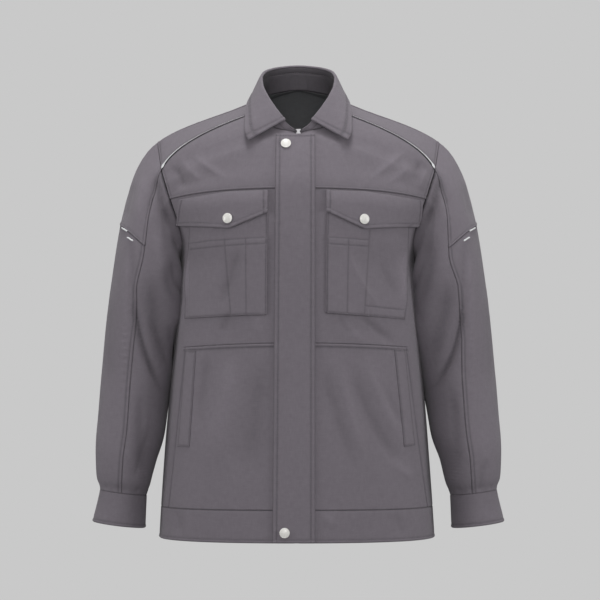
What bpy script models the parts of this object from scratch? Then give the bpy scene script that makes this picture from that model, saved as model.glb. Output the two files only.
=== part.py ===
"""A men's work jacket with reflective piping, filled out as it is worn, with nobody in it.

Run it with: blender --background --python part.py, or from Blender's text editor.

Metres, +Z up. The front faces -Y and the wearer's left arm is on +X. The origin is the middle of
the neck opening, level with the inner ends of the shoulder ridges, where a wearer carries it.

The cloth is one thin shell, cut up along its seams. Each half of the body is two surfaces, front
and back. A surface is a stack of rows: a row is a cubic curve that starts at the centre line or on
the neckline and ends at the side seam or on the armhole. The tables below hold one line for each
row, and every pocket, flap and band is laid out on those surfaces and moved off them.
"""

import math
from collections import namedtuple

import bmesh
import bpy
import numpy as np
from mathutils import Vector
from mathutils.bvhtree import BVHTree

MM = 0.001

# ------------------------------------------------------------------ driving sizes, in metres
CLOTH = 1.6 * MM  # a panel's thickness
DOUBLE_CLOTH = 2.2 * MM  # collar, flaps and cuffs are two layers pressed together
SEAM_GAP = 0.3 * MM  # between the edges of two pieces that are sewn together
LAID_GAP = 0.8 * MM  # between a panel and what is laid on it
LEAN = -3.5 * MM  # the closed front pulls the hem this far to the wearer's right
LEAN_DEPTH = 0.69  # the depth below the origin at which the lean is whole

FRONT_EDGE = 3.4 * MM  # from the centre line to each front's edge, beside the zip
FRONT_EDGE_SHARE = FRONT_EDGE / 0.36  # the same as a share of a front row, which starts 0.36 m strong

# ------------------------------------------------------------------ the body's rows, in millimetres
# Start x0 y0 z0, end x1 y1 z1, and the curve's direction and pull there: a at the start, b at the end.
Row = namedtuple("Row", "name x0 y0 z0 x1 y1 z1 ax ay az bx by bz")

FRONT_ROWS = [
    Row("hem", 0, -146, -691, 220, 0, -691, 400, 0, 0, 0, 300, 0),
    Row("band", 0, -145, -640, 217, 0, -641, 398, 0, 0, 0, 298, 0),
    Row("hip", 0, -143, -540, 210, 0, -541, 388, 0, 0, 0, 292, 0),
    Row("waist", 0, -140, -380, 197.5, 1, -390, 370, 0, 0, 0, 286, 0),
    Row("pocket", 0, -141, -320, 193.5, 3, -330, 366, 0, 0, 0, 280, 0),
    Row("underarm", 0, -142, -262, 190, 5, -268, 362, 0, 0, 10, 262, -14),
    Row("low", 0, -141, -212, 183.5, -45, -222, 330, 0, 0, 62, 178, -18),
    Row("chest", 0, -136, -139, 202, -58, -154, 330, 0, 0, 110, 112, -26),
    Row("upper", 0, -121, -92, 205.5, -56, -144, 300, -14, -20, 112, 96, -52),
    Row("neck", 0, -98, -52, 209.5, -52, -131, 260, -44, -38, 110, 84, -74),
    Row("collarbone", 38, -90, -42, 213.5, -46, -119, 205, -40, -45, 96, 60, -100),
    Row("piping", 66, -52, -15, 217, -38, -106.5, 150, -34, -58, 62, 34, -132),
    Row("ridge", 78, 0, 1, 226, 5, -61, 148, 2, -66, 118, 0, -84),
]

BACK_ROWS = [
    Row("hem", 0, 132, -691, 220, 0, -691, 396, 0, 0, 0, -272, 0),
    Row("band", 0, 131, -640, 217, 0, -641, 394, 0, 0, 0, -270, 0),
    Row("hip", 0, 127, -540, 210, 0, -541, 384, 0, 0, 0, -262, 0),
    Row("waist", 0, 121, -380, 197.5, 1, -390, 366, 0, 0, 0, -248, 0),
    Row("pocket", 0, 123, -320, 193.5, 3, -330, 362, 0, 0, 0, -248, 0),
    Row("underarm", 0, 127, -262, 190, 5, -268, 358, 0, 0, 10, -236, -14),
    Row("low", 0, 131, -205, 189, 54, -222, 330, 0, 0, 70, -150, -18),
    Row("chest", 0, 131, -140, 200, 74, -160, 330, 0, 0, 112, -96, -30),
    Row("upper", 0, 123, -80, 208, 70, -130, 300, 8, -20, 116, -84, -60),
    Row("neck", 0, 102, -20, 214, 58, -107, 262, 20, -34, 112, -76, -90),
    Row("nape", 0, 72, 24, 219, 42, -88, 232, 22, -44, 102, -54, -106),
    Row("shoulder", 50, 60, 19, 223, 24, -73, 176, 12, -72, 106, -24, -100),
    Row("ridge", 78, 0, 1, 226, 5, -61, 148, 2, -66, 118, 0, -84),
]
UNDERARM = 5  # the row, in both tables, where the side seam ends and the armhole starts
FRONT_NECK = 9  # the front's row that starts at the top of the centre front
PIPING = 11
CHEST = 7
WAIST = 3
BAND = 1
BACK_NECK = 10
LAST = 12

# Rows of faces between one table row and the next.
FRONT_STEPS = [1, 1, 2, 1, 1, 2, 2, 1, 1, 1, 2, 3]
BACK_STEPS = [1, 1, 2, 1, 1, 2, 1, 2, 1, 1, 2, 2]
FRONT_COLUMNS = 9
SIDE_COLUMNS = 3  # of those columns, how many lie outside the side front seam
BACK_COLUMNS = 7
# Where the side front seam crosses a row, as a share of the row, on the left and on the right.
SIDE_SEAM_AT_HEM = {1: 0.82, -1: 0.765}
SIDE_SEAM_AT_WAIST = {1: 0.665, -1: 0.70}

# ------------------------------------------------------------------ the sleeve's rings, in millimetres
# A ring is an oval through an outer and an inner point of the arm's outline seen from the front.
Ring = namedtuple("Ring", "name x_out z_out x_in z_in y_mid half_depth")

SLEEVE_RINGS = [
    Ring("biceps", 300, -280, 193.2, -300, 8, 80),
    Ring("upper", 308.7, -352, 198.2, -370, 4, 72),
    Ring("elbow", 315, -430, 203.8, -446, -1, 66),
    Ring("fore", 321.2, -512, 211, -524, -8, 60),
    Ring("lower", 323.2, -560, 225, -570, -13, 53),
    Ring("wrist", 321, -596, 235, -604, -15.5, 47),
    Ring("cuff_top", 316.3, -614, 241.5, -623, -17, 41.5),
    Ring("cuff_hem", 328, -665, 243.8, -675.5, -20, 44),
]
CUFF_TOP = 7  # the sleeve runs from 0 at the armhole, through ring "biceps" at 1, to the cuff at 7
CUFF_HEM = 8
SLEEVE_SEAM_ANGLE = 83  # degrees from the outer side of the arm to its front and back seams
CAP_OUTER_Z = -196 * MM  # the slanting cap seam, on the outer side of the arm
CAP_SEAM_Z = -225 * MM  # and where it meets the long seams
CAP_ROWS = 3
SLEEVE_STEPS = [1, 2, 2, 2, 1, 1, 1]

# The direction in which the sleeve leaves the armhole, from the ridge down the front and up the back.
Leave = namedtuple("Leave", "around x y z")
SLEEVE_LEAVES = [
    Leave(0.00, 0.82, 0.00, -0.58),
    Leave(0.12, 0.74, -0.36, -0.57),
    Leave(0.25, 0.64, -0.50, -0.58),
    Leave(0.40, 0.56, -0.34, -0.76),
    Leave(0.46, 0.66, -0.16, -0.74),
    Leave(0.50, 0.70, 0.00, -0.71),
    Leave(0.54, 0.66, 0.16, -0.74),
    Leave(0.60, 0.56, 0.34, -0.76),
    Leave(0.75, 0.64, 0.50, -0.58),
    Leave(0.88, 0.74, 0.36, -0.57),
    Leave(1.00, 0.82, 0.00, -0.58),
]
CAP_PULL = 0.82  # how far the sleeve keeps that direction, as a share of the way to the first ring

# ------------------------------------------------------------------ the largest folds
# From one point of a surface to another, in the surface's own two parameters.
Fold = namedtuple("Fold", "a0 b0 a1 b1 half_width depth")
FRONT_FOLDS = [
    Fold(0.95, 6.2, 0.62, 9.4, 13, 3.0),
    Fold(0.98, 4.2, 0.55, 1.7, 20, 3.0),
    Fold(0.60, 4.4, 0.40, 2.3, 18, 2.0),
]
BACK_FOLDS = [
    Fold(0.96, 6.6, 0.55, 4.6, 18, 4.5),
    Fold(0.70, 2.2, 0.88, 4.6, 20, 3.5),
    Fold(0.12, 8.6, 0.62, 9.9, 14, 2.0),
]
SLEEVE_FOLDS = [
    Fold(0.10, 1.35, 0.36, 3.5, 13, 5.5),
    Fold(0.04, 0.25, 0.05, 2.6, 12, 3.0),
    Fold(0.20, 0.45, 0.34, 1.9, 14, 3.5),
    Fold(0.62, 1.2, 0.90, 2.9, 15, 4.5),
    Fold(0.24, 3.6, 0.30, 6.2, 12, 3.0),
    Fold(0.80, 4.0, 0.95, 5.9, 13, 3.0),
]

# ------------------------------------------------------------------ the collar, in millimetres
# By the share of the neckline from the centre front to the centre back: where the stand ends at its
# top, and the leaf's outer edge. The leaf starts at the second station.
Station = namedtuple("Station", "around x y z edge_x edge_y edge_z")
COLLAR = [
    Station(0.00, 4.5, -98.5, -47.5, 60, -100, -55),
    Station(0.12, 22.5, -95, -28, 75.5, -103, -62),
    Station(0.24, 32, -86, -9, 84, -92, -46),
    Station(0.36, 44, -68, 10, 86.5, -64, -20),
    Station(0.48, 52.5, -40, 28, 84.5, -30, -1),
    Station(0.60, 56, -5, 41, 82.5, 2, 5),
    Station(0.72, 53, 32, 52, 77, 44, 11),
    Station(0.86, 34, 60, 61, 51, 82, 15),
    Station(1.00, 0, 70, 64.5, 0, 97, 13),
]
LEAF_START = 0.12
ROLL_PULL = 21 * MM  # how strongly the leaf goes on upwards from the stand before it turns over
FALL_PULL = 34 * MM  # and how strongly it runs down to its outer edge
STAND_ROWS = 2
LEAF_ROWS = 6

# ------------------------------------------------------------------ what is laid on the fronts, in millimetres
# A laid piece is a row of columns from the centre line outwards, each with a top and a bottom seen
# from the front, and how much further than its neighbours it stands off the panel, as at a pleat.
Column = namedtuple("Column", "x_top z_top x_bottom z_bottom raised")

POCKET_LIFT, POCKET_CLOTH = 0.6 * MM, 1.2 * MM
PLEAT = 0.8
POCKETS = {
    -1: [
        Column(46.6, -158, 47.1, -336, 0),
        Column(77.7, -158, 76.6, -336.6, 0),
        Column(79.7, -158, 78.3, -336.6, PLEAT),
        Column(112.5, -158, 101.8, -338, PLEAT),
        Column(114.5, -158, 103.8, -338, 0),
        Column(168, -160, 177.2, -342.4, 0),
    ],
    1: [
        Column(46.9, -158, 44.5, -333, PLEAT),
        Column(112.7, -158, 105.5, -337.7, PLEAT),
        Column(114.7, -158, 107.5, -338, 0),
        Column(177, -162, 171, -343.4, 0),
    ],
}
FLAP_LIFT, FLAP_CLOTH = 3.1 * MM, 1.6 * MM
FLAPS = {
    -1: [
        Column(46.5, -141.5, 46.4, -177.1, 0),
        Column(106, -143.3, 105.7, -202, 0),
        Column(186, -154.4, 184, -194.5, 0),
    ],
    1: [
        Column(46.3, -141.8, 46.4, -175.8, 0),
        Column(106, -143.6, 105.6, -202.6, 0),
        Column(195, -155.6, 184.5, -196.5, 0),
    ],
}
WELT_LIFT, WELT_CLOTH = 0.6 * MM, 1.6 * MM
WELTS = {
    -1: [Column(155.8, -394.5, 165.1, -545.5, 0), Column(172.6, -393.9, 184.2, -545.8, 0)],
    1: [Column(152, -390.5, 168.5, -543.8, 0), Column(169.2, -391, 186, -541.6, 0)],
}
FLAP_STEP = 11  # below its seam a flap lies on the panel for this far, and then on the pocket
PLACKET_LIFT, PLACKET_CLOTH = 0.7 * MM, 2.0 * MM
PLACKET = [Column(-33.4, -56, -33.4, -690.6, 0), Column(30.1, -56, 30.1, -690.6, 0)]

Snap = namedtuple("Snap", "name x z lift")
SNAPS = [
    Snap("placket_top", -18.3, -67.4, PLACKET_LIFT + PLACKET_CLOTH),
    Snap("placket_hem", -17.9, -674.6, PLACKET_LIFT + PLACKET_CLOTH),
    Snap("flap_right", -106.7, -185.8, FLAP_LIFT + FLAP_CLOTH),
    Snap("flap_left", 105.4, -187.2, FLAP_LIFT + FLAP_CLOTH),
]
SNAP_PROFILE = [(0, 0), (5.2, 0), (7.6, 0.5), (8.0, 1.1), (7.3, 1.9), (5.0, 2.5), (0, 2.8)]
SNAP_SIDES = 20

ZIP_TAPE = [Column(2.2, -58, 2.2, -688, 0), Column(15, -58, 15, -688, 0)]
ZIP_TAPE_CLOTH = 1.0 * MM
SLIDER_OUTLINE = [(-52.5, 3.4), (-51, 3.6), (-48.6, 2.0), (-46.2, 3.9), (-45.2, 3.6)]  # height, half width
SLIDER_FRONT, SLIDER_BACK = -102.6, -99.0  # the y of its two faces

# Piping on the seam between yoke and chest: share along the row, and width in millimetres.
Trim = namedtuple("Trim", "share width")
YOKE_PIPING = [Trim(0.56, 1.6), Trim(0.7, 2.4), Trim(0.85, 3.4), Trim(0.94, 4.6), Trim(0.975, 4.2)]
PIPING_LIFT, PIPING_CLOTH = 0.9 * MM, 1.2 * MM
# Reflective pieces on the sleeve: from and to round the arm, and the height of each end.
Dash = namedtuple("Dash", "name from_around from_z to_around to_z width")
SLEEVE_DASHES = [
    Dash("sleeve_piping", -0.06, -200, 0.075, -203, 3.0),
    Dash("sleeve_dash", 0.055, -211.5, 0.10, -217, 2.6),
]
DASH_STEPS = 12

# ------------------------------------------------------------------ colours
CLOTH_GREY = (0.155, 0.140, 0.158, 1)
INSIDE_GREY = (0.030, 0.031, 0.032, 1)
SILVER = (0.78, 0.79, 0.80, 1)
CAP_WHITE = (0.80, 0.79, 0.76, 1)


def material(name, colour, roughness, metallic=0.0):
    """A Principled BSDF material with this colour, roughness and metallic value."""
    made = bpy.data.materials.new(name)
    made.use_nodes = True
    shader = made.node_tree.nodes["Principled BSDF"]
    shader.inputs["Base Color"].default_value = colour
    shader.inputs["Roughness"].default_value = roughness
    shader.inputs["Metallic"].default_value = metallic
    made.diffuse_color = colour
    return made


# ------------------------------------------------------------------ curves and surfaces
def smooth_table(knots, values, at):
    """Cubic interpolation of a table's columns that never overshoots the table's own values."""
    knots, values, at = np.asarray(knots, float), np.asarray(values, float), np.asarray(at, float)
    step = np.diff(knots)[:, None]
    slope = np.diff(values, axis=0) / step
    before, after = slope[:-1], slope[1:]
    w_before, w_after = 2 * step[1:] + step[:-1], step[1:] + 2 * step[:-1]
    same = before * after > 0
    safe_before, safe_after = np.where(same, before, 1.0), np.where(same, after, 1.0)
    middle = (w_before + w_after) / (w_before / safe_before + w_after / safe_after)
    tangent = np.vstack([slope[:1], np.where(same, middle, 0.0), slope[-1:]])
    i = np.clip(np.searchsorted(knots, at, side="right") - 1, 0, len(knots) - 2)
    h = step[i, 0][..., None]
    u = ((at - knots[i]) / (knots[i + 1] - knots[i]))[..., None]
    return hermite(values[i], tangent[i] * h, values[i + 1], tangent[i + 1] * h, u)


def hermite(start, pull_start, end, pull_end, u):
    """The cubic from start to end with these pulls at its ends, at share u."""
    return (
        (2 * u**3 - 3 * u**2 + 1) * start
        + (u**3 - 2 * u**2 + u) * pull_start
        + (3 * u**2 - 2 * u**3) * end
        + (u**3 - u**2) * pull_end
    )


def unit(vectors):
    return vectors / np.maximum(np.linalg.norm(vectors, axis=-1, keepdims=True), 1e-12)


def fold_depth(folds, a, b, a_size, b_size):
    """How far the folds press the surface in at (a, b): a soft trough along each, fading at its ends."""
    total = np.zeros(np.broadcast(a, b).shape)
    for fold in folds:
        ax, bx = (a - fold.a0) * a_size, (b - fold.b0) * b_size
        da, db = (fold.a1 - fold.a0) * a_size, (fold.b1 - fold.b0) * b_size
        length = math.hypot(da, db)
        along = (ax * da + bx * db) / length**2
        across = (ax * db - bx * da) / length
        fade = np.clip(along * 4 + 0.6, 0, 1) * np.clip((1 - along) * 4 + 0.6, 0, 1)
        fade = fade**2 * (3 - 2 * fade)
        shape = np.exp(-((across / (fold.half_width * MM)) ** 2))
        total += fold.depth * MM * shape * fade
    return total


ROW_LENGTH = 0.24  # about how long a body row is, and how far apart two rows are
ROW_SPACING = 0.055
RING_LENGTH = 0.40
RING_SPACING = 0.07


class BodySurface:
    """One half of the front or of the back, as a function of the share along a row and of the row."""

    def __init__(self, rows, folds, outward):
        self.knots = np.arange(len(rows), dtype=float)
        self.table = np.array([row[1:] for row in rows], float) * MM
        self.folds = folds
        self.outward = outward

    def plain(self, s, t):
        s, t = np.broadcast_arrays(np.asarray(s, float), np.asarray(t, float))
        row = smooth_table(self.knots, self.table, t)
        u = s[..., None]
        return hermite(row[..., 0:3], row[..., 6:9], row[..., 3:6], row[..., 9:12], u)

    def plain_normal(self, s, t):
        e = 1e-3
        s, t = np.asarray(s, float), np.asarray(t, float)
        low_s, high_s = np.clip(s - e, 0, 1), np.clip(s + e, 0, 1)
        low_t, high_t = np.clip(t - e, 0, LAST), np.clip(t + e, 0, LAST)
        ds = self.plain(high_s, t) - self.plain(low_s, t)
        dt = self.plain(s, high_t) - self.plain(s, low_t)
        return unit(np.cross(ds, dt)) * self.outward

    def point(self, s, t):
        edge = np.clip(np.minimum(1 - s, (LAST - t) / 2) / 0.06, 0, 1)
        press = fold_depth(self.folds, s, t, ROW_LENGTH, ROW_SPACING) * edge
        return self.plain(s, t) - self.plain_normal(s, t) * press[..., None]

    def normal(self, s, t):
        return self.plain_normal(s, t)

    def find(self, x, z):
        """The (share, row) of the surface's point that is seen from the front or back at (x, z)."""
        x, z = np.broadcast_arrays(np.asarray(x, float), np.asarray(z, float))
        s, t = np.full(x.shape, 0.4), np.full(x.shape, 5.0)
        e = 1e-4
        for _ in range(40):
            here = self.point(s, t)
            ds = (self.point(s + e, t) - here) / e
            dt = (self.point(s, t + e) - here) / e
            off_x, off_z = x - here[..., 0], z - here[..., 2]
            det = ds[..., 0] * dt[..., 2] - dt[..., 0] * ds[..., 2]
            det = np.where(np.abs(det) < 1e-9, 1e-9, det)
            step_s = (off_x * dt[..., 2] - dt[..., 0] * off_z) / det
            step_t = (ds[..., 0] * off_z - off_x * ds[..., 2]) / det
            s = np.clip(s + np.clip(step_s, -0.2, 0.2), 0, 1)
            t = np.clip(t + np.clip(step_t, -1, 1), 0, LAST)
        return s, t


FRONT = BodySurface(FRONT_ROWS, FRONT_FOLDS, 1)
BACK = BodySurface(BACK_ROWS, BACK_FOLDS, -1)


def armhole_shares(surface, rows):
    """How far round its half of the armhole each row's end is: 0 at the ridge and 0.5 at the underarm."""
    fine = np.linspace(UNDERARM, LAST, 400)
    ends = surface.plain(np.ones(400), fine)
    length = np.concatenate([[0], np.cumsum(np.linalg.norm(np.diff(ends, axis=0), axis=1))])
    return 0.5 * (1 - np.interp(rows, fine, length) / length[-1])


class SleeveSurface:
    """The left sleeve: around is 0 at the ridge, 0.5 at the underarm by way of the front, and 1."""

    def __init__(self):
        rings = np.array([ring[1:] for ring in SLEEVE_RINGS], float) * MM
        outer = np.stack([rings[:, 0], rings[:, 4], rings[:, 1]], axis=1)
        inner = np.stack([rings[:, 2], rings[:, 4], rings[:, 3]], axis=1)
        self.rings = np.hstack([(outer + inner) / 2, (outer - inner) / 2, rings[:, 5:6]])
        fine = np.linspace(UNDERARM, LAST, 400)
        front, back = armhole_shares(FRONT, fine), 1 - armhole_shares(BACK, fine)
        self.front_shares, self.back_shares, self.fine = front, back, fine
        self.seam = float(armhole_shares(FRONT, np.array([PIPING]))[0])
        self.back_seam = float(armhole_shares(BACK, np.array([BACK_NECK]))[0])
        self.angles = (
            [-self.back_seam, 0, self.seam, 0.5, 1 - self.back_seam, 1, 1 + self.seam],
            np.radians([-SLEEVE_SEAM_ANGLE, 0, SLEEVE_SEAM_ANGLE, 180, 360 - SLEEVE_SEAM_ANGLE,
                        360, 360 + SLEEVE_SEAM_ANGLE])[:, None],
        )

    def armhole(self, around):
        around = np.mod(around, 1.0)
        front_row = np.interp(-around, -self.front_shares, self.fine)
        back_row = np.interp(around, self.back_shares, self.fine)
        row = np.where(around <= 0.5, front_row, back_row)
        ones = np.ones(around.shape)
        on_front, on_back = FRONT.plain(ones, row), BACK.plain(ones, row)
        return np.where((around <= 0.5)[..., None], on_front, on_back)

    def ring(self, around, along):
        ring = smooth_table(np.arange(1, len(self.rings) + 1), self.rings, np.maximum(along, 1))
        angle = smooth_table(*self.angles, around)[..., 0]
        front = np.array([0.0, -1.0, 0.0])
        return (
            ring[..., 0:3]
            + np.cos(angle)[..., None] * ring[..., 3:6]
            + (np.sin(angle) * ring[..., 6])[..., None] * front
        )

    def plain(self, around, along):
        around, along = np.broadcast_arrays(np.asarray(around, float), np.asarray(along, float))
        start = self.armhole(around)
        end = self.ring(around, np.ones(around.shape))
        reach = np.linalg.norm(end - start, axis=-1, keepdims=True)
        leaves = np.array(SLEEVE_LEAVES, float)
        leave = unit(smooth_table(leaves[:, 0], leaves[:, 1:], np.mod(around, 1.0)))
        onward = unit(self.ring(around, np.full(around.shape, 1.05)) - end)
        cap = hermite(start, leave * reach * CAP_PULL, end, onward * reach, np.clip(along, 0, 1)[..., None])
        return np.where((along < 1)[..., None], cap, self.ring(around, along))

    def normal(self, around, along):
        e = 2e-3
        around, along = np.asarray(around, float), np.asarray(along, float)
        low, high = np.clip(along - e, 0, CUFF_HEM), np.clip(along + e, 0, CUFF_HEM)
        da = self.plain(around + e, along) - self.plain(around - e, along)
        dv = self.plain(around, high) - self.plain(around, low)
        return unit(np.cross(da, dv))

    def point(self, around, along):
        press = fold_depth(SLEEVE_FOLDS, around, along, RING_LENGTH, RING_SPACING)
        edge = np.clip(along / 0.25, 0, 1) * np.clip((CUFF_TOP - along) / 0.6, 0, 1)
        return self.plain(around, along) - self.normal(around, along) * (press * edge)[..., None]


SLEEVE = SleeveSurface()


# ------------------------------------------------------------------ walls
def own(i, j):
    """The name of a grid's point, in a grid where no two points are the same."""
    return (i, j)


def edges_of(faces):
    """The directed edges that only one face has, each with that face."""
    owner = {}
    for face in faces:
        for p, q in zip(face, face[1:] + face[:1]):
            owner[p, q] = face
    return {edge: face for edge, face in owner.items() if edge[::-1] not in owner}


def inset(points, rims):
    """Where each point goes when the piece's edges move in by half a seam's gap."""
    pulls = {}
    for (p, q), face in rims.items():
        edge = unit(points[q] - points[p])
        inward = sum(points[key] for key in face) / len(face) - points[p]
        inward = unit(inward - edge * (inward @ edge))
        for key in (p, q):
            pulls.setdefault(key, []).append(inward)
    shift = {}
    for key, inward in pulls.items():
        total = sum(inward)
        if len(inward) == 2:
            total = total / max(1 + inward[0] @ inward[1], 0.3)
        shift[key] = total * SEAM_GAP / 2
    return shift


def wall(name, outer, inner, finish, mask=None, twin=own):
    """A closed wall between two grids of points, over the masked cells.

    twin names the point that a grid's point stands for, where a tube or a back closes on itself.
    """
    rows, columns = outer.shape[:2]
    if mask is None:
        mask = np.ones((rows - 1, columns - 1), bool)
    faces = []
    for i, j in zip(*np.nonzero(mask)):
        faces.append([twin(i, j), twin(i + 1, j), twin(i + 1, j + 1)])
        faces.append([twin(i, j), twin(i + 1, j + 1), twin(i, j + 1)])
    keys = {key for face in faces for key in face}
    return thicken(name, faces, {k: outer[k] for k in keys}, {k: inner[k] for k in keys}, finish)


def thicken(name, faces, outer, inner, finish):
    """A closed wall from faces, given as point names, and each point's two places."""
    rims = edges_of(faces)
    for key, move in inset(outer, rims).items():
        outer[key], inner[key] = outer[key] + move, inner[key] + move
    mesh = bmesh.new()
    top = {key: mesh.verts.new(place) for key, place in outer.items()}
    under = {key: mesh.verts.new(place) for key, place in inner.items()}
    for face in faces:
        mesh.faces.new([top[key] for key in face])
        mesh.faces.new([under[key] for key in reversed(face)])
    for p, q in rims:
        mesh.faces.new([top[q], top[p], under[p], under[q]])
    return solid(name, mesh, finish)


def solid(name, mesh, finish):
    """An object from a bmesh, triangulated, facing out and shaded smooth with sharp edges."""
    bmesh.ops.triangulate(mesh, faces=mesh.faces)
    bmesh.ops.recalc_face_normals(mesh, faces=mesh.faces)
    data = bpy.data.meshes.new(name)
    mesh.to_mesh(data)
    mesh.free()
    data.materials.append(finish)
    data.shade_smooth()
    data.set_sharp_from_angle(angle=math.radians(40))
    made = bpy.data.objects.new(name, data)
    bpy.context.scene.collection.objects.link(made)
    return made


def leaned(points):
    """Points moved with the body's lean, which the sleeves don't follow."""
    points = np.array(points, float)
    share = np.clip(-points[..., 2] / LEAN_DEPTH, 0, 1)
    points[..., 0] += LEAN * share * np.clip((0.24 - np.abs(points[..., 0])) / 0.03, 0, 1)
    return points


def sided(points, side):
    """Points of the left half on the wanted side, with the body's lean."""
    return leaned(points * np.array([side, 1.0, 1.0]))


def two_faces(points, normals, thickness, side, lift=0.0):
    """The outer and inner face of cloth that lies on these points, or lifted off them."""
    return (
        sided(points + normals * (lift + thickness if lift else 0.0), side),
        sided(points + normals * (lift if lift else -thickness), side),
    )


# ------------------------------------------------------------------ body panels
def row_values(steps, first=0, last=LAST):
    """The rows of points between two table rows, with each stretch divided into its steps."""
    rows = [np.arange(n) / n + k for k, n in enumerate(steps) if first <= k < last]
    return np.concatenate(rows + [[float(last)]])


def side_seam_share(t, side):
    """Where the side front seam is along a row."""
    share = np.clip((t - BAND) / (WAIST - BAND), 0, 1)
    return SIDE_SEAM_AT_HEM[side] + (SIDE_SEAM_AT_WAIST[side] - SIDE_SEAM_AT_HEM[side]) * share


def front_grid(side):
    """One front's shares and rows: columns up to the side front seam, then to the side seam."""
    t = row_values(FRONT_STEPS)[:, None]
    inner = FRONT_COLUMNS - SIDE_COLUMNS
    seam = side_seam_share(t, side)
    start = np.where(t <= FRONT_NECK, FRONT_EDGE_SHARE, 0.0)
    near = start + (seam - start) * np.arange(inner + 1) / inner
    far = seam + (1 - seam) * np.arange(1, SIDE_COLUMNS + 1) / SIDE_COLUMNS
    return np.hstack([near, far]), np.repeat(t, FRONT_COLUMNS + 1, axis=1)


def back_grid():
    t = row_values(BACK_STEPS)[:, None]
    s = np.linspace(0, 1, BACK_COLUMNS + 1)[None, :]
    return np.repeat(s, len(t), axis=0), np.repeat(t, BACK_COLUMNS + 1, axis=1)


def seam_normals(surface, other, s, t):
    """The surface's normals, shared with the other surface along the side seam and the ridge, and
    with the sleeve along the armhole, so that the edges of two pieces stay parallel through the cloth."""
    normals = surface.normal(s, t)
    side = np.isclose(s, 1) & (t <= UNDERARM)
    normals[side] = unit(normals[side] + other.normal(s[side], t[side]))
    ridge = np.isclose(t, LAST)
    normals[ridge] = unit(normals[ridge] + other.normal(s[ridge], t[ridge]))
    hole = np.isclose(s, 1) & (t >= UNDERARM)
    around = armhole_shares(surface, t[hole])
    around = around if surface is FRONT else 1 - around
    normals[hole] = unit(normals[hole] + SLEEVE.normal(around, np.full(around.shape, 0.02)))
    return normals


def front_panels(side, word, cloth):
    """The pieces of one front: lower front, hem band, middle front with its side, chest and yoke."""
    s, t = front_grid(side)
    points, normals = FRONT.point(s, t), seam_normals(FRONT, BACK, s, t)
    outer, inner = two_faces(points, normals, CLOTH, side)
    cell_t = (t[:-1, :-1] + t[1:, :-1]) / 2
    inside_seam = np.repeat(np.arange(FRONT_COLUMNS)[None, :] < FRONT_COLUMNS - SIDE_COLUMNS, len(cell_t), 0)
    lower = (cell_t > BAND) & (cell_t < WAIST) & inside_seam
    cuts = {
        "hem_band": cell_t < BAND,
        "lower_front": lower,
        "middle_front": (cell_t > BAND) & (cell_t < CHEST) & ~lower,
        "chest_front": (cell_t > CHEST) & (cell_t < PIPING),
        "yoke": cell_t > PIPING,
    }
    for piece, mask in cuts.items():
        wall(f"{piece}_{word}", outer, inner, cloth, mask)


def back_panels(cloth):
    """The back in one piece from side seam to side seam, and the back of the hem band."""
    s, t = back_grid()
    points, normals = BACK.point(s, t), seam_normals(BACK, FRONT, s, t)
    below_neck = t[:, 0] <= BACK_NECK
    normals[below_neck, 0, 0] = 0
    halves = [two_faces(points, unit(normals), CLOTH, side) for side in (-1, 1)]
    outer = np.concatenate([halves[0][0][:, ::-1], halves[1][0]], axis=1)
    inner = np.concatenate([halves[0][1][:, ::-1], halves[1][1]], axis=1)
    cell_t = np.repeat((t[:-1, :1] + t[1:, :1]) / 2, outer.shape[1] - 1, axis=1)
    real = np.arange(outer.shape[1] - 1)[None, :] != BACK_COLUMNS

    def across_centre(i, j):
        """Below the neck the two halves share their centre column."""
        return (i, BACK_COLUMNS) if j == BACK_COLUMNS + 1 and below_neck[i] else (i, j)

    wall("back", outer, inner, cloth, (cell_t > BAND) & real, across_centre)
    wall("hem_band_back", outer, inner, cloth, (cell_t < BAND) & real, across_centre)


# ------------------------------------------------------------------ sleeves
def cap_seam_along(around):
    """How far along the sleeve its slanting cap seam is: highest on the outer side of the arm."""
    angle = np.abs(smooth_table(*SLEEVE.angles, around)[..., 0])
    slope = np.clip(angle / math.radians(SLEEVE_SEAM_ANGLE), 0, 1)
    wanted = CAP_OUTER_Z + (CAP_SEAM_Z - CAP_OUTER_Z) * slope
    along = np.linspace(0, 1, 200)
    heights = SLEEVE.plain(around[:, None], along[None, :])[..., 2]
    return np.array([np.interp(-w, -h, along) for w, h in zip(wanted, heights)])


def sleeve_rows(cap):
    """Rows from the armhole to the cap seam and on to the cuff, for each column's cap seam."""
    above = cap[None, :] * np.arange(CAP_ROWS)[:, None] / CAP_ROWS
    stretch = row_values(SLEEVE_STEPS, 0, CUFF_TOP)
    below = [cap + (1 - cap) * v if v < 1 else np.full(cap.shape, v) for v in stretch]
    return np.vstack([above, np.array(below)])


def sleeve_normals(around, along):
    """The sleeve's normals, shared with the body's along the armhole."""
    normals = SLEEVE.normal(around, along)
    round_it = np.mod(around[0], 1.0)
    front_row = np.interp(-round_it, -SLEEVE.front_shares, SLEEVE.fine)
    back_row = np.interp(round_it, SLEEVE.back_shares, SLEEVE.fine)
    ones = np.ones(round_it.shape)
    body = np.where((round_it <= 0.5)[:, None], FRONT.normal(ones, front_row), BACK.normal(ones, back_row))
    at_ridge = np.isclose(np.minimum(round_it, 1 - round_it), 0, atol=1e-6)
    ridge = np.full(1, float(LAST))
    body[at_ridge] = unit(FRONT.normal(np.ones(1), ridge) + BACK.normal(np.ones(1), ridge))[0]
    at_underarm = np.isclose(round_it, 0.5, atol=1e-6)
    under = np.full(1, float(UNDERARM))
    body[at_underarm] = unit(FRONT.normal(np.ones(1), under) + BACK.normal(np.ones(1), under))[0]
    normals[0] = unit(body + SLEEVE.normal(around[0], np.full(round_it.shape, 0.02)))
    return normals


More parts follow.
